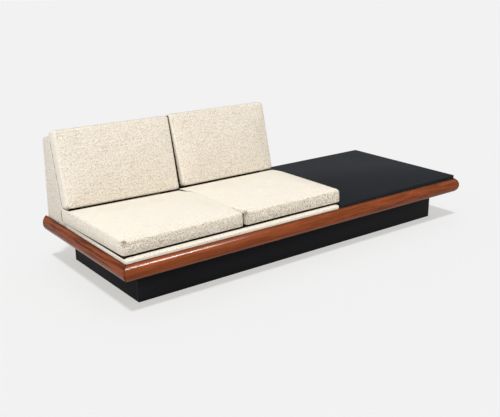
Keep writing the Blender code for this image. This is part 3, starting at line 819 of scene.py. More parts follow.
def tweed_group():
    """Slubby tweed: rows of yarn in short beads, each with its own shade, over broad sandy streaks.

    A wandering row number comes from the place across the yarns. Each row starts at its own point and is
    cut into beads, and a few beads are dark flecks.
    """
    tree, given, put = new_group(
        "Tweed",
        [("Vector", VECTOR), ("Yarn", FLOAT), ("Fleck Share", FLOAT)]
        + [("Cream", COLOUR), ("Sand", COLOUR), ("Fleck", COLOUR)],
        [("Color", COLOUR), ("Height", FLOAT)],
    )
    place, yarn, share = (given.outputs[name] for name in ("Vector", "Yarn", "Fleck Share"))
    split = add_node(tree, "ShaderNodeSeparateXYZ", {0: place})
    sway = times(tree, noise(tree, place, 30.0), 1.2)
    across = plus(tree, maths(tree, "DIVIDE", split.outputs[1], yarn), sway)
    row = maths(tree, "FLOOR", across)
    row_start = times(tree, white_noise(tree, "1D", "W", row), 17.0)
    along = plus(tree, maths(tree, "DIVIDE", split.outputs[0], times(tree, yarn, 1.5)), row_start)
    cell = add_node(tree, "ShaderNodeCombineXYZ", {0: maths(tree, "FLOOR", along), 1: row}).outputs[0]
    bead = white_noise(tree, "2D", "Vector", cell)
    slubs = ramp(tree, streaked(tree, place, (15.0, 110.0, 1.0), 3.0, 0.6), 0.47, 0.66)
    dots = ramp(tree, streaked(tree, place, (130.0, 170.0, 1.0), 2.0, 0.6), 0.51, 0.60)
    uneven = plus(tree, slubs, times(tree, dots, 2.1))
    sandy = times(tree, bead, plus(tree, times(tree, share, 1.5), 0.12))
    sandy = plus(tree, sandy, times(tree, uneven, times(tree, share, 0.75)))
    cloth = mixed(tree, times(tree, sandy, 0.8), given.outputs["Cream"], given.outputs["Sand"])
    rare = maths(tree, "SUBTRACT", 0.98, times(tree, share, 0.28))
    dark = ramp(tree, bead, rare, plus(tree, rare, 0.12))
    dark = times(tree, dark, maths(tree, "MINIMUM", times(tree, share, 1.4), 0.9))
    tree.links.new(mixed(tree, dark, cloth, given.outputs["Fleck"]), put.inputs["Color"])
    relief = times(tree, hump(tree, across), plus(tree, hump(tree, along), 0.8))
    relief = times(tree, relief, maths(tree, "SUBTRACT", 1.3, bead))
    tree.links.new(relief, put.inputs["Height"])
    return tree


def wood_group():
    """Wood with grain along X: broad figure, fine streaks and short dark pores."""
    tree, given, put = new_group(
        "Wood grain",
        [("Vector", VECTOR), ("Light", COLOUR), ("Dark", COLOUR), ("Pore", COLOUR)]
        + [("Streak Share", FLOAT)],
        [("Color", COLOUR), ("Height", FLOAT), ("Roughness", FLOAT)],
    )
    place = given.outputs["Vector"]
    wander = times(tree, streaked(tree, place, (1.4, 9.0, 9.0)), 0.020)
    bend = add_node(tree, "ShaderNodeCombineXYZ", {1: wander}).outputs[0]
    bent = add_node(tree, "ShaderNodeVectorMath", {0: place, 1: bend}, operation="ADD").outputs[0]
    figure = streaked(tree, bent, (5.5, 60.0, 60.0), 3.0, 0.55)
    streaks = streaked(tree, bent, (3.0, 190.0, 190.0), 3.0, 0.6)
    pores = ramp(tree, streaked(tree, place, (70.0, 1100.0, 1100.0), 1.0), 0.62, 0.74)
    broad = times(tree, ramp(tree, figure, 0.40, 0.60), 0.70)
    fine = times(tree, ramp(tree, streaks, 0.35, 0.70), 0.35)
    share = times(tree, plus(tree, broad, fine), given.outputs["Streak Share"])
    wood = mixed(tree, share, given.outputs["Light"], given.outputs["Dark"])
    wood = mixed(tree, times(tree, pores, 0.45), wood, given.outputs["Pore"])
    height = maths(tree, "SUBTRACT", times(tree, streaks, 0.35), pores)
    tree.links.new(wood, put.inputs["Color"])
    tree.links.new(height, put.inputs["Height"])
    tree.links.new(ramp(tree, streaks, 0.2, 0.8, 0.15, 0.20), put.inputs["Roughness"])
    return tree


def rubbed_group():
    """A handled flat finish: cloudy sheen, faint scuffs in one direction and a fine grain."""
    tree, given, put = new_group(
        "Rubbed finish",
        [("Vector", VECTOR), ("Colour", COLOUR), ("Scuff", COLOUR)]
        + [("Scuff Share", FLOAT), ("Roughness", FLOAT)],
        [("Color", COLOUR), ("Height", FLOAT), ("Roughness", FLOAT)],
    )
    place = given.outputs["Vector"]
    clouds = noise(tree, place, 3.5, 3.0, 0.55)
    scuffs = streaked(tree, place, (14.0, 120.0, 60.0), 3.0, 0.65)
    grain = noise(tree, place, 900.0, 1.0)
    rubs = times(tree, ramp(tree, scuffs, 0.60, 0.78), ramp(tree, clouds, 0.40, 0.65))
    share = plus(tree, times(tree, rubs, 0.6), times(tree, clouds, 0.5))
    share = times(tree, share, given.outputs["Scuff Share"])
    spread = times(tree, maths(tree, "SUBTRACT", clouds, 0.5), 0.16)
    tree.links.new(mixed(tree, share, given.outputs["Colour"], given.outputs["Scuff"]), put.inputs["Color"])
    tree.links.new(grain, put.inputs["Height"])
    tree.links.new(plus(tree, given.outputs["Roughness"], spread), put.inputs["Roughness"])
    return tree


GROUPS = {"Tweed": tweed_group, "Wood grain": wood_group, "Rubbed finish": rubbed_group}


def grouped(tree, name, inputs):
    """A shared group, built the first time it is asked for, placed in a material with its own values."""
    made = bpy.data.node_groups.get(name) or GROUPS[name]()
    return add_node(tree, "ShaderNodeGroup", inputs, node_tree=made)


def new_finish(name, values):
    """A node material with its shader, whose plain values are set on its own sockets."""
    made = bpy.data.materials.new(name)
    made.use_nodes = True
    shader = made.node_tree.nodes["Principled BSDF"]
    for socket, value in values.items():
        shader.inputs[socket].default_value = value
    return made, made.node_tree, shader


def set_bump(tree, shader, height, distance, strength):
    """Turns a height into the shader's normal."""
    inputs = {"Height": height, "Distance": distance, "Strength": strength}
    tree.links.new(add_node(tree, "ShaderNodeBump", inputs).outputs[0], shader.inputs["Normal"])


# Finishes


def tweed_finish(name):
    """Oatmeal tweed, laid by the piece's own cloth map, with painted shade in a near-black colour on the
    strips where gaps and creases fall in shade.
    """
    values = {"Roughness": 0.92, "Specular IOR Level": 0.05, "Sheen Weight": 0.02, "Sheen Roughness": 0.5}
    made, tree, shader = new_finish(name, values)
    weave = add_node(tree, "ShaderNodeUVMap", uv_map="weave").outputs[0]
    # The fleck share also carries painted light and shade that depend on which way a face looks
    inputs = {"Vector": weave, "Yarn": size_of("yarn"), "Fleck Share": attribute(tree, "fleck")}
    inputs |= {label: colour_of("tweed_" + label.lower()) for label in ("Cream", "Sand", "Fleck")}
    cloth = grouped(tree, "Tweed", inputs)
    # Painted shade: strips in gaps and creases take the near-black colour
    gap_shaded = ramp(tree, attribute(tree, "lining"), 0.0005, 0.0015)
    shade = mixed(tree, gap_shaded, cloth.outputs["Color"], colour_of("lining"))
    tree.links.new(shade, shader.inputs["Base Color"])
    set_bump(tree, shader, cloth.outputs["Height"], 0.0008, 0.8)
    return made


def wood_inputs(wood, vector, share):
    """Values of the wood grain for a wood with its own light and dark colours."""
    inputs = {"Vector": vector, "Streak Share": share, "Pore": colour_of("pore")}
    return inputs | {"Light": colour_of(wood + "_light"), "Dark": colour_of(wood + "_dark")}


def walnut_finish(name):
    """Oiled walnut, its grain, figure and darker joints, and painted shade along the lips, laid by the
    piece's own attributes.
    """
    made, tree, shader = new_finish(name, {"Specular IOR Level": 0.05})
    inputs = wood_inputs("walnut", attribute(tree, "grain", "Vector"), attribute(tree, "figure"))
    wood = grouped(tree, "Wood grain", inputs)
    shade = mixed(tree, attribute(tree, "joint"), wood.outputs["Color"], colour_of("walnut_joint_and_shade"))
    tree.links.new(shade, shader.inputs["Base Color"])
    tree.links.new(wood.outputs["Roughness"], shader.inputs["Roughness"])
    set_bump(tree, shader, wood.outputs["Height"], 0.00003, 0.05)
    return made


def plywood_finish(name):
    """Raw plywood of the hidden boards."""
    made, tree, shader = new_finish(name, {"Roughness": 0.75})
    wood = grouped(tree, "Wood grain", wood_inputs("plywood", object_place(tree), 0.7))
    tree.links.new(wood.outputs["Color"], shader.inputs["Base Color"])
    set_bump(tree, shader, wood.outputs["Height"], 0.0003, 0.4)
    return made


def rubbed_finish(name, colour, scuff, scuff_share, roughness, values):
    """A finish with a cloudy sheen and faint scuffs."""
    made, tree, shader = new_finish(name, values)
    inputs = {"Vector": object_place(tree), "Colour": colour_of(colour), "Scuff": colour_of(scuff)}
    rubbed = grouped(tree, "Rubbed finish", inputs | {"Scuff Share": scuff_share, "Roughness": roughness})
    tree.links.new(rubbed.outputs["Color"], shader.inputs["Base Color"])
    tree.links.new(rubbed.outputs["Roughness"], shader.inputs["Roughness"])
    set_bump(tree, shader, rubbed.outputs["Height"], 0.0001, 0.25)
    return made


def laminate_finish(name):
    """Matt charcoal laminate, a little scuffed."""
    return rubbed_finish(name, "laminate", "laminate_scuff", 0.4, 0.65, {"Specular IOR Level": 0.03})


def paint_finish(name):
    """Matt black paint."""
    return rubbed_finish(name, "paint", "paint_scuff", 0.3, 0.60, {"Specular IOR Level": 0.03})


def steel_finish(name):
    """Zinc-plated steel, a little uneven."""
    values = {"Metallic": 1.0, "Specular IOR Level": 0.5}
    return rubbed_finish(name, "steel", "steel_dull", 0.5, 0.38, values)


def foam_finish(name):
    """Open-celled foam."""
    made, tree, shader = new_finish(name, {"Roughness": 0.95})
    cells = noise(tree, object_place(tree), 420.0, 2.0, 0.6)
    shade = mixed(tree, ramp(tree, cells, 0.35, 0.65), colour_of("foam"), colour_of("foam_cell"))
    tree.links.new(shade, shader.inputs["Base Color"])
    set_bump(tree, shader, cells, 0.001, 0.6)
    return made


def nylon_finish(name):
    """Woven nylon tape and moulded coil of the zips."""
    made, tree, shader = new_finish(name, {"Roughness": 0.55})
    ribs = streaked(tree, object_place(tree), (900.0, 900.0, 300.0), 1.0)
    shade = mixed(tree, ribs, colour_of("nylon"), colour_of("nylon_rib"))
    tree.links.new(shade, shader.inputs["Base Color"])
    set_bump(tree, shader, ribs, 0.0002, 0.5)
    return made


FINISHES = {
    "oatmeal_tweed": tweed_finish,
    "walnut": walnut_finish,
    "plywood": plywood_finish,
    "black_laminate": laminate_finish,
    "black_paint": paint_finish,
    "zinc_steel": steel_finish,
    "foam": foam_finish,
    "nylon_zip": nylon_finish,
}


def finish_of(name):
    """A finish named for its slot in the record, built the first time it is asked for."""
    return bpy.data.materials.get("finish_" + name) or FINISHES[name]("finish_" + name)


# Operators


class SOFA_OT_inner_frame(bpy.types.Operator):
    """Finishes the solids that keep their own shape: bearers, panel, inner back frame, foam and bolts"""

    bl_idname = "sofa.inner_frame"
    bl_label = "Inner frame"

    def execute(self, context):
        for row in frame["record"]["subparts"]:
            mesh = frame["nodes"][row["node"]].data
            mesh.materials.clear()
            mesh.materials.append(finish_of(row["material_slot"]))
        return {"FINISHED"}


class SOFA_OT_plinth(bpy.types.Operator):
    """Makes the four boards of the plinth with eased edges"""

    bl_idname = "sofa.plinth"
    bl_label = "Plinth"

    def execute(self, context):
        for side in ("front", "rear", "left", "right"):
            node = f"plinth_{side}"
            obj = add_piece(node + "_board", board_mesh(node, *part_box(node)), finish_of("black_paint"))
            round_edges(obj, size_of("board_ease"))
            hand_over(obj, "platform", "black_paint", node)
        return {"FINISHED"}


class SOFA_OT_rails(bpy.types.Operator):
    """Makes the bullnose rails, mitred at the front, and the plain rear rail"""

    bl_idname = "sofa.rails"
    bl_label = "Wood rails"

    def execute(self, context):
        length, depth = RIGHT - LEFT, REAR - FRONT
        self.bullnose("front_rail", rail_rings(length, 1, 1), (LEFT, FRONT), (1, 0), (0, 1))
        self.bullnose("left_rail", rail_rings(depth, 0, 1), (LEFT, REAR), (0, -1), (1, 0))
        self.bullnose("right_rail", rail_rings(depth, 1, 0), (RIGHT, FRONT), (0, 1), (-1, 0))
        self.rear()
        return {"FINISHED"}

    def bullnose(self, node, rings, corner, along, inward):
        """Turns (along, depth, height) rings into a rail at its corner, darker at its mitre joints, with
        painted shade along its lip.
        """
        plan = np.array(corner) + rings[..., :1] * np.array(along) + rings[..., 1:2] * np.array(inward)
        mesh = loft_mesh(node, np.concatenate([plan, rings[..., 2:]], axis=-1))
        places, depths, heights = np.moveaxis(rings, -1, 0)
        share = (places - places.min()) / np.ptp(places)
        off = np.abs(places[None] - places[[0, -1]][:, None]).min(axis=0)
        # Painted shade: a dark line along the lip stands for the shadow in the gap beside the deck
        lip = np.where(heights > RABBET_FLOOR + 0.02, size_of("rail_lip") - depths, 1.0)
        joint = MITRE_SHADE * bell(off, MITRE_REACH) + LIP_SHADE * bell(lip, LIP_REACH)
        joint += np.interp(share, (0, 1), RAIL_TONE[node])
        own_grain = np.array([3.1, 0.7, 0.0]) * len(node)
        write_attribute(mesh, "grain", rings.reshape(-1, 3) + own_grain)
        write_attribute(mesh, "figure", np.interp(share, (0, 1), RAIL_FIGURE[node]))
        write_attribute(mesh, "joint", np.minimum(joint, DARKEST_JOINT_AND_SHADE))
        self.fit(node + "_bullnose", mesh, node)

    def rear(self):
        """The rear rail: a T-shaped outline whose arms sit in the side rails' rabbets."""
        low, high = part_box("rear_rail")
        foot = RIGHT - RAIL_STOCK - GAP
        step = RABBET_FLOOR + GAP
        outline = np.array([(-foot, low.z), (foot, low.z), (foot, step), (high.x, step)]
                           + [(high.x, high.z), (low.x, high.z), (low.x, step), (-foot, step)])
        rings = swept_rings(outline, high.y - low.y, size_of("board_ease"), 2)
        rings = rings[..., [1, 0, 2]] + (0, low.y, 0)
        mesh = loft_mesh("rear_rail", rings)
        write_attribute(mesh, "grain", rings)
        write_attribute(mesh, "figure", np.full(len(mesh.vertices), 0.8))
        self.fit("rear_rail_board", mesh, "rear_rail")

    def fit(self, name, mesh, node):
        """Finishes a rail and hands it over."""
        smooth(mesh, 35)
        hand_over(add_piece(name, mesh, finish_of("walnut")), "platform", "walnut", node)


class SOFA_OT_table(bpy.types.Operator):
    """Makes the laminated table top with its edges"""

    bl_idname = "sofa.table"
    bl_label = "Table"

    def execute(self, context):
        edges = [f"table_edge_{side}" for side in ("front", "rear", "left", "right")]
        low = (TABLE_LOW.x, TABLE_LOW.y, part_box(edges[0])[0].z + 0.001)
        obj = add_piece("table_top", board_mesh("table_top", low, TABLE_HIGH), finish_of("black_laminate"))
        round_edges(obj, size_of("table_ease"))
        hand_over(obj, "platform", "black_laminate", "table_laminate", *edges)
        return {"FINISHED"}


class SOFA_OT_deck(bpy.types.Operator):
    """Makes the upholstered seat deck"""

    bl_idname = "sofa.deck"
    bl_label = "Seat deck"

    def execute(self, context):
        draws = np.random.default_rng(SEED)
        size = np.array(DECK_HIGH - DECK_LOW)
        middle = (DECK_LOW + DECK_HIGH) / 2
        rounding = size_of("deck_round")
        rings = rounded_box_rings(size, rounding, rounding, 720, 110)
        mesh = loft_mesh("deck_pad", rings + np.array([middle.x, middle.y, DECK_LOW.z]))
        points = read_points(mesh)
        slack_depth, fall, fall_reach = 0.0004, 0.004, 0.035
        slack = slack_depth * ripple(points[:, 0] + points[:, 1], 6, 0.03, 0.09, draws)
        points[:, 2] -= np.abs(slack) * (points[:, 2] > DECK_LOW.z + 0.01)
        inset = np.minimum(points - np.array(DECK_LOW), np.array(DECK_HIGH) - points)[:, :2].min(axis=1)
        points[:, 2] -= fall * eased(1 - inset / fall_reach) * (points[:, 2] - DECK_LOW.z) / size[2]
        write_points(mesh, points)
        mesh.shade_smooth()
        # Painted shade: a near-black strip under the seat cushions, seen as the dark line in the gap under
        # their fronts
        lining = self.under_cushions(points)
        nodes = ("deck_cover", "deck_foam")
        obj = finish_cloth("deck_pad", mesh, np.eye(3), DECK_FLECK, lining, "platform", *nodes)
        return {"FINISHED"}

    def under_cushions(self, points):
        """How far points lie inside the rectangle that the seat cushions cover, negative outside it."""
        low = np.array([CUSHION_SPLIT - CUSHION_WIDTH - 0.001, SEAT_FRONT])
        high = np.array([CUSHION_SPLIT + CUSHION_WIDTH - 0.006, SEAT_FRONT + SEAT_DEPTH])
        return np.minimum(points[:, :2] - low, high - points[:, :2]).min(axis=1)


class SOFA_OT_back_rest(bpy.types.Operator):
    """Makes the fixed wedge back rest in its fabric"""

    bl_idname = "sofa.back_rest"
    bl_label = "Wedge back rest"

    def execute(self, context):
        length = WEDGE_HIGH.x - WEDGE_LOW.x
        rings = swept_rings(resample(wedge_outline(), 0.012), length, WEDGE_END_ROUND, 110)
        mesh = loft_mesh("back_rest", rings + (WEDGE_LOW.x, 0, 0))
        smooth(mesh, 50)
        # Painted shade: near-black strips behind the seats and a thin line up each end where the cushions
        # meet the wedge
        lining = self.behind_seat(read_points(mesh))
        nodes = ("back_wrap", "back_end_left", "back_end_right")
        obj = finish_cloth("back_rest", mesh, np.eye(3), WEDGE_FLECK, lining, "platform", *nodes)
        return {"FINISHED"}

    def behind_seat(self, points):
        """How far points lie inside the strip behind the seats or a line up an end, negative outside."""
        ahead = lean_y(points[:, 2]) - points[:, 1]
        end = np.minimum(points[:, 0] - WEDGE_LOW.x, WEDGE_HIGH.x - points[:, 0])
        above = points[:, 2] - WEDGE_LINE_FOOT
        line = np.minimum.reduce([ahead + 0.0038, 0.010 - end, above])
        strip = np.minimum.reduce([ahead + 0.012, end - 0.030, -above])
        return np.maximum(line, strip)


class SOFA_OT_seat_cushions(bpy.types.Operator):
    """Makes the two loose seat cushions by cloth simulation"""

    bl_idname = "sofa.seat_cushions"
    bl_label = "Seat cushions"

    def execute(self, context):
        draws = np.random.default_rng(SEED + 1)
        size = (CUSHION_WIDTH + SEAT_SPREAD, SEAT_DEPTH + SEAT_SPREAD, SEAT_THICK)
        star = np.array([STAR_INSET - size[0] / 2, STAR_INSET - size[1] / 2, size[2] - STAR_INSET])
        middle_y = SEAT_FRONT + SEAT_DEPTH / 2
        for side, sign in SIDES:
            name = f"seat_{side}"
            mesh, points, rest, above = soft_cushion(name, size, SEAT_ROUNDS, SEAT_LIFTS[side], draws)
            self.meet(points, rest, sign)
            points[:, 1] = np.minimum(points[:, 1], SEAT_REAR - middle_y)
            self.sag(points, rest, sign)
            points += (cushion_middle(sign) + SEAT_SHIFT[side], middle_y, DECK_HIGH.z + GAP)
            self.press(points, BACK_RAISE[side] + back_droop(rest, side))
            write_points(mesh, points)
            normals = read_points(mesh, "normal")
            # Painted shade: fronts and ends, which the light strikes at a slant, take more fleck
            fleck = SEAT_FLECK_AND_LIGHT + SEAT_FRONT_PAINTED_SHADE * np.clip(-normals[:, 1], 0, 1)
            fleck += SEAT_END_PAINTED_SHADE * np.abs(normals[:, 0])
            # Painted shade in the folds of the gathered front corner
            fleck += STAR_PAINTED_SHADE * bell(np.linalg.norm(rest - star, axis=1), STAR_REACH)
            finish_cushion(name, mesh, np.eye(3), fleck, self.hidden(rest, above, sign))
        return {"FINISHED"}

    def towards_front(self, rest):
        """0 over most of a cushion's depth, and 1 at its front edge."""
        return eased((-2 * rest[:, 1] / SEAT_DEPTH - 0.75) / 0.25)

    def hidden(self, rest, above, sign):
        """How far points lie inside a strip of painted gap shade, negative outside them all.

        The strips are the underside, which shows more at the front, the inner side behind the slit, and the
        outer corner at the rear.
        """
        inner = -sign * rest[:, 0] - GAP_SHADE_SIDE
        low = GAP_SHADE_SEAT_TOP - rest[:, 2]
        behind = np.minimum(rest[:, 1] + SEAT_DEPTH / 2 - 0.011, low)
        outward = np.clip(rest[:, 0] / CUSHION_WIDTH + 0.5, 0, 1) * (sign > 0)
        edge = 0.001 + self.towards_front(rest) * (0.0015 + 0.006 * outward)
        outer = sign * rest[:, 0] - CUSHION_WIDTH / 2 + 0.012
        corner = np.minimum.reduce([outer, rest[:, 1] - SEAT_DEPTH / 2 + 0.016, low])
        return np.maximum.reduce([edge - above, np.minimum(inner, behind), corner])

    def meet(self, points, rest, sign):
        """Presses a cushion's inner side flat against the other's; the right one leaves a front slit."""
        inward = -sign * rest[:, 0] / (CUSHION_WIDTH / 2)
        behind = eased((rest[:, 1] + SEAT_DEPTH / 2 - SLIT_DEPTH) / SLIT_DEPTH)
        push = 0.014 if sign < 0 else 0.030 * behind - 0.017
        points[:, 0] -= sign * push * eased((inward - 0.85) / 0.15)
        plane = MEETING_PLANE + SEAT_SHIFT["right"] * (sign > 0)
        points[:, 0] = np.clip(points[:, 0], -plane - (sign < 0), plane + (sign > 0))
        points[:, 2] += 0.005 * behind * eased((inward - 0.80) / 0.20) * eased(rest[:, 2] / SEAT_THICK)

    def sag(self, points, rest, sign):
        """Spreads and droops the left seat's outer side at its rear, and droops the right one's front."""
        low = 1 - eased(rest[:, 2] / (0.8 * SEAT_THICK))
        if sign < 0:
            outer = eased((-2 * rest[:, 0] / CUSHION_WIDTH - 0.75) / 0.25)
            back = np.clip(rest[:, 1] / SEAT_DEPTH + 0.5, 0, 1) ** 1.3
            points[:, 0] -= 0.009 * back * outer
            points[:, 2] -= 0.004 * back * eased((outer - 0.5) / 0.5) * low
        else:
            outward = np.clip(rest[:, 0] / CUSHION_WIDTH + 0.5, 0, 1)
            points[:, 2] -= 0.0075 * outward**2 * self.towards_front(rest) * low

    def press(self, points, lift):
        """Presses the seat's top into a trough under the back cushion, with a shallow slope before it.

        The left end, beside the back cushion, is left alone. The lower of the two heights is taken softly,
        as -s log(exp(-a / s) + exp(-b / s)).
        """
        soft, before_slope, trough_fade = 0.003, 0.16, 0.020
        foot_y = lean_y(BACK_FOOT)
        front_y = foot_y - BACK_THICK * math.cos(BACK_LEAN)
        base = BACK_FOOT + lift - CREASE
        under = base + (foot_y - points[:, 1]) * BACK_SLOPE
        slope = base + BACK_THICK * math.sin(BACK_LEAN) + before_slope * (front_y - points[:, 1])
        trough = TROUGH * eased((points[:, 1] - front_y) / trough_fade)
        ceiling = np.where(points[:, 1] > front_y, under, slope) - trough
        pressed = -soft * np.logaddexp(-points[:, 2] / soft, -ceiling / soft)
        beside = eased((points[:, 0] - LEFT - 0.016) / 0.012)
        points[:, 2] += (pressed - points[:, 2]) * beside


class SOFA_OT_back_cushions(bpy.types.Operator):
    """Makes the two loose back cushions by cloth simulation"""

    bl_idname = "sofa.back_cushions"
    bl_label = "Back cushions"

    def execute(self, context):
        draws = np.random.default_rng(SEED + 2)
        axes = back_axes()
        for side, sign in SIDES:
            name = f"back_{side}"
            height = BACK_HEIGHT + BACK_GROWTH[side]
            size = (CUSHION_WIDTH, height, BACK_THICK)
            mesh, points, rest, _ = soft_cushion(name, size, BACK_ROUNDS, BACK_LIFTS, draws)
            low = 0.5 - rest[:, 1] / height
            inward = 0.5 - sign * rest[:, 0] / CUSHION_WIDTH
            low_gap, high_gap = BACK_GAP[side]
            points[:, 1] = np.maximum(points[:, 1], -height / 2) + height / 2 + BACK_RAISE[side]
            points[:, 1] += back_droop(rest, side) * low
            points[:, 0] += sign * inward * (high_gap + (low_gap - high_gap) * low)
            points[:, 0] += BACK_SHIFT[side]
            meet = BACK_MEET - sign * MEETING_PLANE
            points[:, 0] = np.minimum(points[:, 0], meet) if sign < 0 else np.maximum(points[:, 0], meet)
            write_points(mesh, points @ axes + (cushion_middle(sign), back_foot_y(), BACK_FOOT))
            # Painted light: the back cushions' ends take less fleck
            fleck = BACK_FLECK + BACK_END_PAINTED_LIGHT * np.abs(read_points(mesh, "normal")[:, 0])
            finish_cushion(name, mesh, axes, fleck, self.hidden(rest, low, sign, height))
        return {"FINISHED"}

    def hidden(self, rest, low, sign, height):
        """How far points lie inside the inner and bottom strips of painted gap shade, negative outside
        both.

        Both strips start behind the front edge, and the inner one starts further back towards its foot.
        """
        depth = BACK_THICK - rest[:, 2]
        inner = np.minimum(-sign * rest[:, 0] - GAP_SHADE_SIDE, (depth - 0.006 - 0.020 * low) / 5)
        under = np.minimum(-height / 2 + 0.002 - rest[:, 1], depth - 0.009)
        end = CUSHION_WIDTH / 2 - sign * rest[:, 0] - (0.022 if sign < 0 else 0.004)
        return np.maximum(inner, np.minimum(under, end))


class SOFA_OT_zips(bpy.types.Operator):
    """Makes the zip in the hidden side strip of each cushion"""

    bl_idname = "sofa.zips"
    bl_label = "Zips"

    def execute(self, context):
        across, up, out = back_axes()
        for side, sign in SIDES:
            middle = cushion_middle(sign)
            seat = (middle + SEAT_SHIFT[side], SEAT_REAR, DECK_HIGH.z + GAP + SEAT_THICK / 2)
            self.fit(f"seat_{side}", seat, ((-1, 0, 0), (0, 0, 1), (0, 1, 0)))
            foot = np.array([middle + BACK_SHIFT[side], back_foot_y(), BACK_FOOT])
            back = foot + BACK_RAISE[side] * up + BACK_THICK / 2 * out
            self.fit(f"back_{side}", back, (across, out, -up))
        return {"FINISHED"}

    def fit(self, body, place, axes):
        """A zip at a place, with axes along it, across it and out of the cloth: coil, slider and puller."""
        end = ZIP_LENGTH / 2
        slider = rounded_box_rings(SLIDER_SIZE, 0.0012, 0.0014, 24, 18) + (end - 0.010, 0, 0)
        puller = rounded_box_rings(PULLER_SIZE, 0.0006, 0.0006, 24, 18) + (end - 0.026, 0, 0.0026)
        node = body + "_zip"
        turn = np.array(axes, float)
        parts = [loft_mesh(node, rings @ turn + place) for rings in (zip_rings(), slider, puller)]
        mesh = joined_mesh(node, parts)
        smooth(mesh, 45)
        hand_over(add_piece(node + "_closed", mesh, finish_of("nylon_zip")), body, "nylon_zip", node)


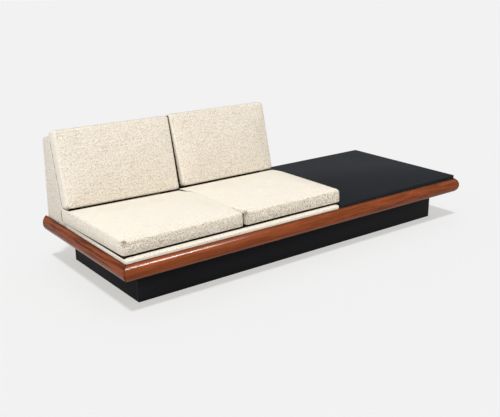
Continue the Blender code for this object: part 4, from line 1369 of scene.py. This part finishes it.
class SOFA_OT_stage(bpy.types.Operator):
    """Makes the pale floor, the light and the camera"""

    bl_idname = "sofa.stage"
    bl_label = "Stage"

    def execute(self, context):
        self.floor()
        self.world()
        self.lights()
        self.camera()
        context.scene.view_settings.view_transform = "Standard"
        return {"FINISHED"}

    def shown_ray(self, tree):
        """1 for rays from the camera, mirrors and glass, and 0 for light that falls on things."""
        path = add_node(tree, "ShaderNodeLightPath")
        shown = maths(tree, "MAXIMUM", path.outputs["Is Camera Ray"], path.outputs["Is Glossy Ray"])
        return maths(tree, "MAXIMUM", shown, path.outputs["Is Transmission Ray"])

    def floor(self):
        """A wide level floor in its pale colour.

        Where it is seen, part of its brightness is its own, to keep its shadow light.
        """
        mesh = bpy.data.meshes.new("floor")
        corners = [(x * FLOOR_REACH, y * FLOOR_REACH, 0) for x, y in ((-1, -1), (1, -1), (1, 1), (-1, 1))]
        mesh.from_pydata(corners, [], [(0, 1, 2, 3)])
        values = {"Roughness": 1.0, "Specular IOR Level": 0.0, "Emission Color": colour_of("floor_glow")}
        made, tree, shader = new_finish("pale_floor", values)
        shown = self.shown_ray(tree)
        shade = mixed(tree, shown, colour_of("floor"), colour_of("floor_shown"))
        tree.links.new(shade, shader.inputs["Base Color"])
        tree.links.new(shown, shader.inputs["Emission Strength"])
        obj = add_piece("floor", mesh, made)

    def world(self):
        """An even sky that the camera sees in the floor's colour."""
        made = bpy.data.worlds.new("studio")
        made.use_nodes = True
        tree = made.node_tree
        sky = tree.nodes["Background"]
        sky.inputs["Color"].default_value = colour_of("sky")
        sky.inputs["Strength"].default_value = 1.0
        backdrop = add_node(tree, "ShaderNodeBackground", {"Color": colour_of("floor"), "Strength": 1.0})
        inputs = {0: self.shown_ray(tree), 1: sky.outputs[0], 2: backdrop.outputs[0]}
        chosen = add_node(tree, "ShaderNodeMixShader", inputs)
        tree.links.new(chosen.outputs[0], tree.nodes["World Output"].inputs["Surface"])
        bpy.context.scene.world = made

    def lights(self):
        """A high key lamp, broad lamps at the left and front, and a lamp that only gleams on the wood."""
        self.sun("key", (-0.265, -0.26, 0.93), 1.895, 6, (0.965, 1.0, 1.055))
        self.lamp("left_fill", (-3.2, -0.9, 1.6), (-0.3, 0.0, 0.3), 2.0, 1.6, 35)
        self.lamp("front_fill", (0.6, -3.0, 2.6), (0.1, 0.0, 0.3), 2.6, 1.4, 64, (1.03, 1.0, 0.93))
        gleam = self.lamp("gleam", (0.87, -3.10, 2.30), (-1.0, -0.4, 0.2), 1.1, 0.7, 530)
        gleam.visible_diffuse = False
        rails = bpy.data.collections.new("gleaming_rails")
        for side in ("front", "left", "right"):
            rails.objects.link(bpy.data.objects[side + "_rail_bullnose"])
        gleam.light_linking.receiver_collection = rails

    def sun(self, name, direction, strength, angle, colour):
        """A lamp far away in a direction."""
        data = bpy.data.lights.new(name, "SUN")
        data.angle = math.radians(angle)
        return self.hang(data, strength, colour, direction)

    def lamp(self, name, place, target, width, height, power, colour=(1.0, 1.0, 1.0)):
        """A soft box that faces a target and leaves the floor alone."""
        data = bpy.data.lights.new(name, "AREA")
        data.shape = "RECTANGLE"
        data.size = width
        data.size_y = height
        obj = self.hang(data, power, colour, Vector(place) - Vector(target))
        obj.location = place
        apart = bpy.data.collections.new(name + "_receivers")
        apart.objects.link(bpy.data.objects["floor"])
        apart.collection_objects[0].light_linking.link_state = "EXCLUDE"
        obj.light_linking.receiver_collection = apart
        return obj

    def hang(self, data, power, colour, direction):
        """A lamp that shines from a direction."""
        data.energy = power
        data.color = colour
        obj = bpy.data.objects.new(data.name, data)
        obj.rotation_euler = Vector(direction).to_track_quat("Z", "Y").to_euler()
        bpy.context.scene.collection.objects.link(obj)
        return obj

    def camera(self):
        """The camera at the photograph's place and angle."""
        data = bpy.data.cameras.new("camera")
        data.sensor_width = SENSOR_WIDTH
        data.lens = FOCAL_PIXELS / PHOTO_WIDTH * SENSOR_WIDTH
        obj = bpy.data.objects.new("camera", data)
        level = math.cos(CAMERA_ELEVATION)
        back_x, back_y = math.sin(CAMERA_AZIMUTH) * level, -math.cos(CAMERA_AZIMUTH) * level
        back = Vector((back_x, back_y, math.sin(CAMERA_ELEVATION)))
        aim = (-back).to_track_quat("-Z", "Y").to_matrix() @ Matrix.Rotation(CAMERA_ROLL, 3, "Z")
        obj.rotation_euler = aim.to_euler()
        obj.location = CAMERA_PLACE
        bpy.context.scene.collection.objects.link(obj)
        bpy.context.scene.camera = obj


OPERATORS = (
    SOFA_OT_inner_frame,
    SOFA_OT_plinth,
    SOFA_OT_rails,
    SOFA_OT_table,
    SOFA_OT_deck,
    SOFA_OT_back_rest,
    SOFA_OT_seat_cushions,
    SOFA_OT_back_cushions,
    SOFA_OT_zips,
    SOFA_OT_stage,
)


class SOFA_PT_panel(bpy.types.Panel):
    """Lists the steps, sizes and colours of the sofa"""

    bl_idname = "SOFA_PT_panel"
    bl_label = "Platform sofa"
    bl_space_type = "VIEW_3D"
    bl_region_type = "UI"
    bl_category = "Sofa"

    def draw(self, context):
        for step in OPERATORS:
            self.layout.operator(step.bl_idname)
        for group in (context.scene.sofa_sizes, context.scene.sofa_colours):
            column = self.layout.column()
            for name in group.__annotations__:
                column.prop(group, name)


CLASSES = (SofaColours, SofaSizes, *OPERATORS, SOFA_PT_panel)


def register():
    """Adds the classes and the scene's properties."""
    for made in CLASSES:
        bpy.utils.register_class(made)
    bpy.types.Scene.sofa_colours = bpy.props.PointerProperty(type=SofaColours)
    bpy.types.Scene.sofa_sizes = bpy.props.PointerProperty(type=SofaSizes)


def unregister():
    """Removes what register added."""
    del bpy.types.Scene.sofa_sizes
    del bpy.types.Scene.sofa_colours
    for made in reversed(CLASSES):
        bpy.utils.unregister_class(made)


def main():
    """Builds every piece in order."""
    register()
    bpy.ops.sofa.inner_frame()
    bpy.ops.sofa.plinth()
    bpy.ops.sofa.rails()
    bpy.ops.sofa.table()
    bpy.ops.sofa.deck()
    bpy.ops.sofa.back_rest()
    bpy.ops.sofa.seat_cushions()
    bpy.ops.sofa.back_cushions()
    bpy.ops.sofa.zips()
    bpy.ops.sofa.stage()


if __name__ == "__main__":
    main()
